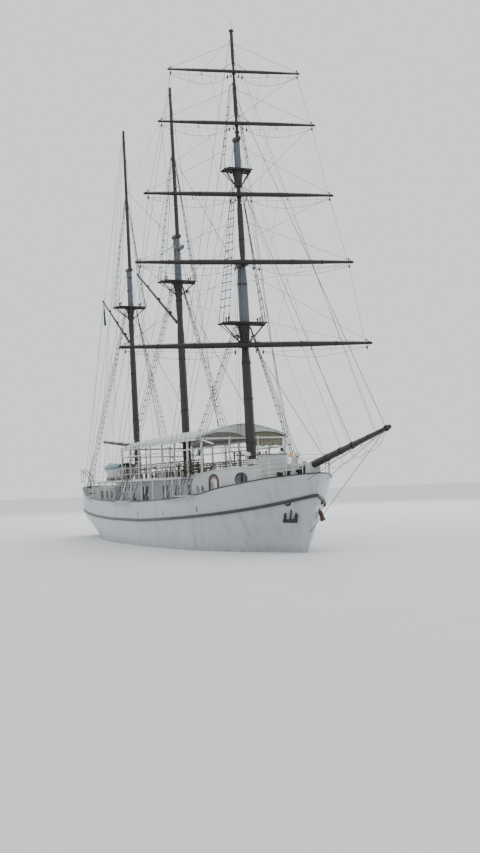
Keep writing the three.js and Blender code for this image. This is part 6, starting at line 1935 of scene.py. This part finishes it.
def build_gaff_gear():
    for name, (mast, _z, _reach, _peak, r0, r1) in GAFFS.items():
        hoops, ropes = Shape(), Rope()
        for share in (0.18, 0.45, 0.72, 0.96):
            r = r0 + (r1 - r0) * share + 0.003
            way = gaff_at(name, 1) - gaff_at(name, 0)
            hoops.hoop(gaff_at(name, share), way, (-0.03, 0.03), r * 0.95, r + 0.009, 14)
        hoops.piece(name + "_hoops", "iron", name, "iron")
        for k in range(30):
            share = 0.08 + 0.88 * k / 29
            r = r0 + (r1 - r0) * share
            drop = -(r + 0.035) if "gaff" in name else r + 0.035
            ropes.run([gaff_at(name, share, 0, drop * 0.7), gaff_at(name, share, 0, drop)], 0.006)
        drop0, drop1 = (-(r0 + 0.035), -(r1 + 0.04)) if "gaff" in name else (r0 + 0.035, r1 + 0.04)
        ropes.run([gaff_at(name, 0.08, 0, drop0), gaff_at(name, 0.96, 0, drop1)], 0.008)
        for share in (0.5, 0.8):
            for y in (0.14, -0.14):
                ropes.run([gaff_at(name, share, 0.0, 0.02), gaff_at(name, share, y, -0.14)], 0.008)
        ropes.piece(name + "_jackstay", "tarred", name, "wire", 5)
        halyards = Rope()
        if "gaff" in name:
            for share, high in ((0.42, 14.6), (0.7, 16.6), (0.97, 17.3)):
                head = mast_at(mast, high) + Vector((-0.2, 0.0, 0))
                halyards.run([head, gaff_at(name, share, 0, 0.06)], 0.009)
            thing = halyards.piece(name + "_peak_halyards", "tarred", None, "wire", 6)
            near = mast_at(mast, 15.0)
            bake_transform(thing, "ship", name, (near.x - 0.22, 0, 15.0), (gaff_at(name, 0.42).x + 0.3, 0, 15.0))
            vangs = Rope()
            low_x = -17.1 if mast == "mizzen" else -8.4
            for side in (-1, 1):
                foot = Vector((low_x, side * (rail_half(low_x) - 0.05), rail_top(low_x) + 0.02))
                vangs.run([foot, gaff_at(name, 0.98, side * 0.04, 0)], 0.007)
            thing = vangs.piece(name + "_vangs", "manila", None, "wire", 6)
            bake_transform(thing, "ship", name, (0, 0, 4.2), (0, 0, 14.5))
        else:
            for side in (-1, 1):
                head = mast_at(mast, 14.7) + Vector((-0.15, side * 0.3, 0))
                halyards.run([head, gaff_at(name, 0.96, side * 0.05, 0.06)], 0.009)
            thing = halyards.piece(name + "_lifts", "tarred", None, "wire", 6)
            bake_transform(thing, "ship", name, (0, 0, 14.2), (0, 0, 7.0))
            sheet = Rope()
            for side in (-1, 1):
                sheet.run([Vector((-17.0, side * 0.5, deck_at(-17.0, 0.5))),
                           gaff_at(name, 0.93, side * 0.03, -0.1)], 0.009)
            thing = sheet.piece(name + "_sheet", "manila", None, "wire", 6)
            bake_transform(thing, "ship", name, (0, 0, 2.2), (0, 0, 5.6))
    halyard = Rope()
    halyard.run([gaff_at("mizzen_gaff", 0.995, 0, -0.06), Vector((-16.74, 0, 16.36))], 0.005)
    halyard.run([Vector((-16.48, 0, 14.7)), Vector((-16.5, 0, 13.9))], 0.005)
    halyard.piece("ensign_halyard_top", "manila", "mizzen_gaff", "wire", 5)
    fall = Rope()
    fall.run([Vector((-16.5, 0.0, 13.9)), Vector((-15.9, 0.35, 2.9))], 0.005)
    thing = fall.piece("ensign_halyard_fall", "manila", None, "wire", 5)
    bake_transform(thing, "mizzen_gaff", "ship", (0, 0, 13.5), (0, 0, 3.3))


def build_running_lines():
    """Halyards, downhauls and sheets that stay with the ship."""
    tarred, manila = Rope(), Rope()
    for mast, x, y, z, ahead in (("fore", 7.66, 0.3, 13.9, 0.0), ("fore", 7.7, -0.34, 13.9, 0.0),
                                 ("fore", 7.66, 0.5, 20.2, 0.35), ("fore", 7.66, -0.5, 20.2, 0.35),
                                 ("mizzen", -10.4, 0.4, 14.6, 0.0), ("mizzen", -10.4, -0.4, 14.6, 0.0)):
        base = 4.56 if mast == "fore" else PROMENADE_TOP + 0.66
        head = mast_at(mast, z, ahead) + Vector((-0.16, 0.16 * (1 if y > 0 else -1), 0))
        manila.run([(x, y, base), head], 0.0075)
    for low, z, ahead in (((20.4, 0, 5.05), 24.6, 0.55), ((18.1, 0, 4.62), 20.0, 0.4),
                          ((16.0, 0, 4.2), 14.9, 0.3)):
        tarred.run([low, mast_at("fore", z, ahead) + Vector((0.1, 0.03, 0))], 0.006)
    tarred.run([mast_at("main", 25.9, 0.27), mast_at("mizzen", 22.6, 0.3)], 0.006)
    tarred.run([mast_at("main", 17.2, 0.1) + Vector((-0.15, 0, 0)),
                mast_at("mizzen", 17.3, 0.1) + Vector((0.12, 0, 0))], 0.008)
    tarred.run([mast_at("fore", 25.9, 0.5), mast_at("main", 25.6, 0.3)], 0.006)
    tarred.piece("jib_halyards", "tarred", "ship", "wire", 5)
    manila.piece("halyard_falls", "manila", "ship", "wire", 5)


def build_ensign():
    """The ensign hangs furled in narrow folds under the gaff."""
    rows = []
    top, foot = Vector((-16.72, 0, 16.36)), Vector((-16.48, 0, 14.69))
    for i in range(41):
        t = i / 40
        spine = top.lerp(foot, t)
        width = 0.05 + 0.08 * min(1, t * 1.3)
        row = []
        for j in range(49):
            s = j / 48
            swing = width * 0.5 * math.sin(2 * math.pi * 3.5 * s + 0.6 * math.sin(4 * t))
            back = width * (s - 0.5) * 0.95
            hem = 0.05 * math.sin(math.pi * s * 3) * t * t
            row.append((spine.x + back + 0.01 * math.sin(9 * t + 5 * s), swing * (0.55 + 0.45 * t),
                        max(14.67, spine.z - hem)))
        rows.append(row)
    cloth_piece("ensign_furled", rows, "flag", ("ensign",), 0.004,
                "mizzen_gaff")


# The stage: floor at the waterline, soft light and the camera

def build_stage():
    kit = bpy.context.scene.ship_stage
    look = Look("studio_floor", {"Roughness": 0.85, "Specular IOR Level": 0.2})
    base = look.coated(kit.floor_colour, tuple(c * 0.97 for c in kit.floor_colour),
                       look.spread(0.4, 4, 0.3, 0.7))
    look.tree.links.new(base, look.shader.inputs["Base Color"])
    mesh = bpy.data.meshes.new("floor")
    size = kit.floor_size
    mesh.from_pydata([(-size, -size, 0), (size, -size, 0), (size, size, 0), (-size, size, 0)], [],
                     [(0, 1, 2, 3)])
    mesh.materials.append(look.material)
    link("floor", mesh)
    world = bpy.data.worlds.new("soft studio")
    world.use_nodes = True
    bpy.context.scene.world = world
    sky = world.node_tree.nodes["Background"]
    sky.inputs[0].default_value = tuple(kit.sky_colour) + (1.0,)
    sky.inputs[1].default_value = kit.sky_strength
    for name, spot, power, size, aim in (("key", (-70, 40, 50), kit.key_power, 40, (0, 0, 8)),
                                         ("fill", (60, -70, 30), kit.fill_power, 50, (0, 0, 8)),
                                         ("rim", (10, 60, 50), kit.key_power * 0.3, 30, (0, 0, 10))):
        data = bpy.data.lights.new(name, "AREA")
        data.energy = power
        data.size = size
        lamp = bpy.data.objects.new(name, data)
        lamp.location = spot
        lamp.rotation_euler = (Vector(aim) - Vector(spot)).to_track_quat("-Z", "Y").to_euler()
        bpy.context.scene.collection.objects.link(lamp)
    data = bpy.data.cameras.new("camera")
    data.sensor_width = 36
    data.sensor_fit = "HORIZONTAL"
    data.lens = kit.lens
    data.clip_end = 2000
    camera = bpy.data.objects.new("camera", data)
    yaw, pitch, roll = kit.yaw, kit.pitch, kit.roll
    ahead = Vector((-math.sin(yaw) * math.cos(pitch), math.cos(yaw) * math.cos(pitch), math.sin(pitch)))
    right = Vector((math.cos(yaw), math.sin(yaw), 0))
    up = right.cross(ahead)
    right, up = math.cos(roll) * right + math.sin(roll) * up, -math.sin(roll) * right + math.cos(roll) * up
    camera.matrix_world = Matrix((
        (right.x, up.x, -ahead.x, kit.spot[0]), (right.y, up.y, -ahead.y, kit.spot[1]),
        (right.z, up.z, -ahead.z, kit.spot[2]), (0, 0, 0, 1)))
    bpy.context.scene.collection.objects.link(camera)
    bpy.context.scene.camera = camera


# The add-on

class ShipPaint(bpy.types.PropertyGroup):
    """Colours of the ship's paints and cloths."""
    hull: bpy.props.FloatVectorProperty(name="Hull", description="White of the side", subtype="COLOR",
                                        default=linear("#b3b8bb")[:3])
    house: bpy.props.FloatVectorProperty(name="Houses", description="White of the deckhouses and bulwark",
                                         subtype="COLOR", default=linear("#bfc3c4")[:3])
    rail: bpy.props.FloatVectorProperty(name="Rails", description="Enamel of the rails and frames",
                                        subtype="COLOR", default=linear("#c9cccb")[:3])
    trim: bpy.props.FloatVectorProperty(name="Trim", description="Cap rail and strake", subtype="COLOR",
                                        default=linear("#2b2826")[:3])
    roof: bpy.props.FloatVectorProperty(name="House tops", description="Non-slip paint", subtype="COLOR",
                                        default=linear("#7f8485")[:3])
    deck: bpy.props.FloatVectorProperty(name="Deck", description="Paler tone of the planks", subtype="COLOR",
                                        default=linear("#a08a69")[:3])
    mast: bpy.props.FloatVectorProperty(name="Masts", description="Mast paint", subtype="COLOR",
                                        default=linear("#26211e")[:3])
    doubling: bpy.props.FloatVectorProperty(name="Doublings",
                                            description="Band where two mast lengths overlap",
                                            subtype="COLOR", default=linear("#4f565d")[:3])
    spar: bpy.props.FloatVectorProperty(name="Yards", description="Oiled yards, gaffs and boom",
                                        subtype="COLOR", default=linear("#221d1a")[:3])
    canvas: bpy.props.FloatVectorProperty(name="Roof canvas", description="Coated roof cloth",
                                          subtype="COLOR", default=linear("#c4c8c6")[:3])
    boat_cover: bpy.props.FloatVectorProperty(name="Boat cover", description="Canvas on the ship's boat",
                                              subtype="COLOR", default=linear("#4a7f86")[:3])


class ShipRigging(bpy.types.PropertyGroup):
    """Sizes of the rigging, as half-thicknesses where a rope is meant."""
    shroud: bpy.props.FloatProperty(name="Shroud", description="Radius of the lower shrouds", default=0.0135,
                                    unit="LENGTH")
    ratline: bpy.props.FloatProperty(name="Ratline", description="Radius of the wooden ratlines",
                                     default=0.023, unit="LENGTH")
    rung_step: bpy.props.FloatProperty(name="Ratline step", description="Height from one ratline to the next",
                                       default=0.4, unit="LENGTH")
    footrope: bpy.props.FloatProperty(name="Footrope", description="Radius of the footropes", default=0.0095,
                                      unit="LENGTH")
    footrope_hang: bpy.props.FloatProperty(name="Footrope hang", description="How far a footrope hangs",
                                           default=0.52, unit="LENGTH")
    running: bpy.props.FloatProperty(name="Lifts and braces", description="Radius of lifts and braces",
                                     default=0.0088, unit="LENGTH")


class ShipStage(bpy.types.PropertyGroup):
    """Floor, light and camera."""
    floor_colour: bpy.props.FloatVectorProperty(name="Floor", description="Colour of the floor",
                                                subtype="COLOR", default=linear("#e6e7e8")[:3])
    floor_size: bpy.props.FloatProperty(name="Floor reach", description="Half-width of the floor",
                                        default=400.0, unit="LENGTH")
    sky_colour: bpy.props.FloatVectorProperty(name="Sky", description="Colour of the studio round the ship",
                                              subtype="COLOR", default=linear("#eef1f4")[:3])
    sky_strength: bpy.props.FloatProperty(name="Sky strength", description="Brightness of the studio",
                                          default=1.3)
    key_power: bpy.props.FloatProperty(name="Key light",
                                       description="Power of the light behind the ship to port",
                                       default=26000.0, unit="POWER")
    fill_power: bpy.props.FloatProperty(name="Fill light", description="Power of the light before the ship",
                                        default=1500.0, unit="POWER")
    lens: bpy.props.FloatProperty(name="Lens", description="Focal length", default=82.33, unit="CAMERA")
    spot: bpy.props.FloatVectorProperty(name="Camera place", description="Where the camera stands",
                                        subtype="XYZ", default=(57.904, -22.081, 3.167))
    yaw: bpy.props.FloatProperty(name="Yaw", description="Turn of the camera about the upright",
                                 subtype="ANGLE", default=math.radians(66.608))
    pitch: bpy.props.FloatProperty(name="Pitch", description="How far the camera looks up", subtype="ANGLE",
                                   default=math.radians(3.0))
    roll: bpy.props.FloatProperty(name="Roll", description="How far the camera leans", subtype="ANGLE",
                                  default=math.radians(-2.021))


class BuildHull(bpy.types.Operator):
    """Plating, deck, bulwark, cap rail and strake"""
    bl_idname = "ship.hull"
    bl_label = "Hull"

    def execute(self, context):
        build_hull()
        build_bulwark()
        return {"FINISHED"}


class BuildHouses(bpy.types.Operator):
    """The three deckhouses with their doors, windows and trim"""
    bl_idname = "ship.houses"
    bl_label = "Deckhouses"

    def execute(self, context):
        build_forward_house()
        build_midships_house()
        build_aft_house()
        return {"FINISHED"}


class BuildDecks(bpy.types.Operator):
    """Forecastle, promenade, stairs and guard rails"""
    bl_idname = "ship.decks"
    bl_label = "Decks, stairs and rails"

    def execute(self, context):
        build_decks()
        return {"FINISHED"}


class BuildPavilion(bpy.types.Operator):
    """The frame, its two canvas roofs, valance, curtain and benches"""
    bl_idname = "ship.pavilion"
    bl_label = "Pavilion"

    def execute(self, context):
        build_pavilion_fittings()
        build_roofs()
        build_front_canvas()
        return {"FINISHED"}


class BuildBoat(bpy.types.Operator):
    """The clinker boat under its cover, and the two davits"""
    bl_idname = "ship.boat"
    bl_label = "Ship's boat and davits"

    def execute(self, context):
        build_boat()
        build_davits()
        return {"FINISHED"}


class BuildDeckGear(bpy.types.Operator):
    """Windlass, helm, bitts, pin rails, lamps, chains and lifebuoys"""
    bl_idname = "ship.deck_gear"
    bl_label = "Deck gear"

    def execute(self, context):
        build_deck_gear()
        build_radar()
        return {"FINISHED"}


class BuildMasts(bpy.types.Operator):
    """Masts, tops, yards, gaffs and boom with their bands"""
    bl_idname = "ship.masts"
    bl_label = "Masts and spars"

    def execute(self, context):
        build_masts()
        return {"FINISHED"}


class BuildStanding(bpy.types.Operator):
    """Stays, shrouds, ratlines and backstays"""
    bl_idname = "ship.standing"
    bl_label = "Standing rigging"

    def execute(self, context):
        build_stays()
        build_shrouds()
        build_upper_shrouds()
        build_backstays()
        return {"FINISHED"}


class BuildRunning(bpy.types.Operator):
    """Lifts, braces, footropes, halyards and vangs"""
    bl_idname = "ship.running"
    bl_label = "Running rigging"

    def execute(self, context):
        build_yard_gear()
        build_gaff_gear()
        build_running_lines()
        return {"FINISHED"}


class BuildEnsign(bpy.types.Operator):
    """The furled ensign"""
    bl_idname = "ship.ensign"
    bl_label = "Ensign"

    def execute(self, context):
        build_ensign()
        return {"FINISHED"}


class BuildStage(bpy.types.Operator):
    """Floor, lights and camera"""
    bl_idname = "ship.stage"
    bl_label = "Stage"

    def execute(self, context):
        build_stage()
        return {"FINISHED"}


BUILDERS = (
    BuildStage, BuildHull, BuildHouses, BuildDecks, BuildPavilion, BuildBoat,
    BuildDeckGear, BuildMasts, BuildStanding, BuildRunning, BuildEnsign,
)


class ShipPanel(bpy.types.Panel):
    """Lists the stage's settings and the ship's builders"""
    bl_idname = "VIEW3D_PT_sailing_ship"
    bl_label = "Sailing ship"
    bl_space_type = "VIEW_3D"
    bl_region_type = "UI"
    bl_category = "Sailing ship"

    def draw(self, context):
        for kit in (context.scene.ship_paint, context.scene.ship_rigging, context.scene.ship_stage):
            for field in kit.__annotations__:
                self.layout.prop(kit, field)
        for builder in BUILDERS:
            self.layout.operator(builder.bl_idname)


CLASSES = (ShipPaint, ShipRigging, ShipStage) + BUILDERS + (ShipPanel,)


def register():
    for one in CLASSES:
        bpy.utils.register_class(one)
    bpy.types.Scene.ship_paint = bpy.props.PointerProperty(type=ShipPaint)
    bpy.types.Scene.ship_rigging = bpy.props.PointerProperty(type=ShipRigging)
    bpy.types.Scene.ship_stage = bpy.props.PointerProperty(type=ShipStage)


def unregister():
    del bpy.types.Scene.ship_stage, bpy.types.Scene.ship_rigging, bpy.types.Scene.ship_paint
    for one in reversed(CLASSES):
        bpy.utils.unregister_class(one)


def main():
    register()
    bpy.ops.ship.stage()
    bpy.ops.ship.hull()
    bpy.ops.ship.houses()
    bpy.ops.ship.decks()
    bpy.ops.ship.pavilion()
    bpy.ops.ship.boat()
    bpy.ops.ship.deck_gear()
    bpy.ops.ship.masts()
    bpy.ops.ship.standing()
    bpy.ops.ship.running()
    bpy.ops.ship.ensign()


if __name__ == "__main__":
    main()
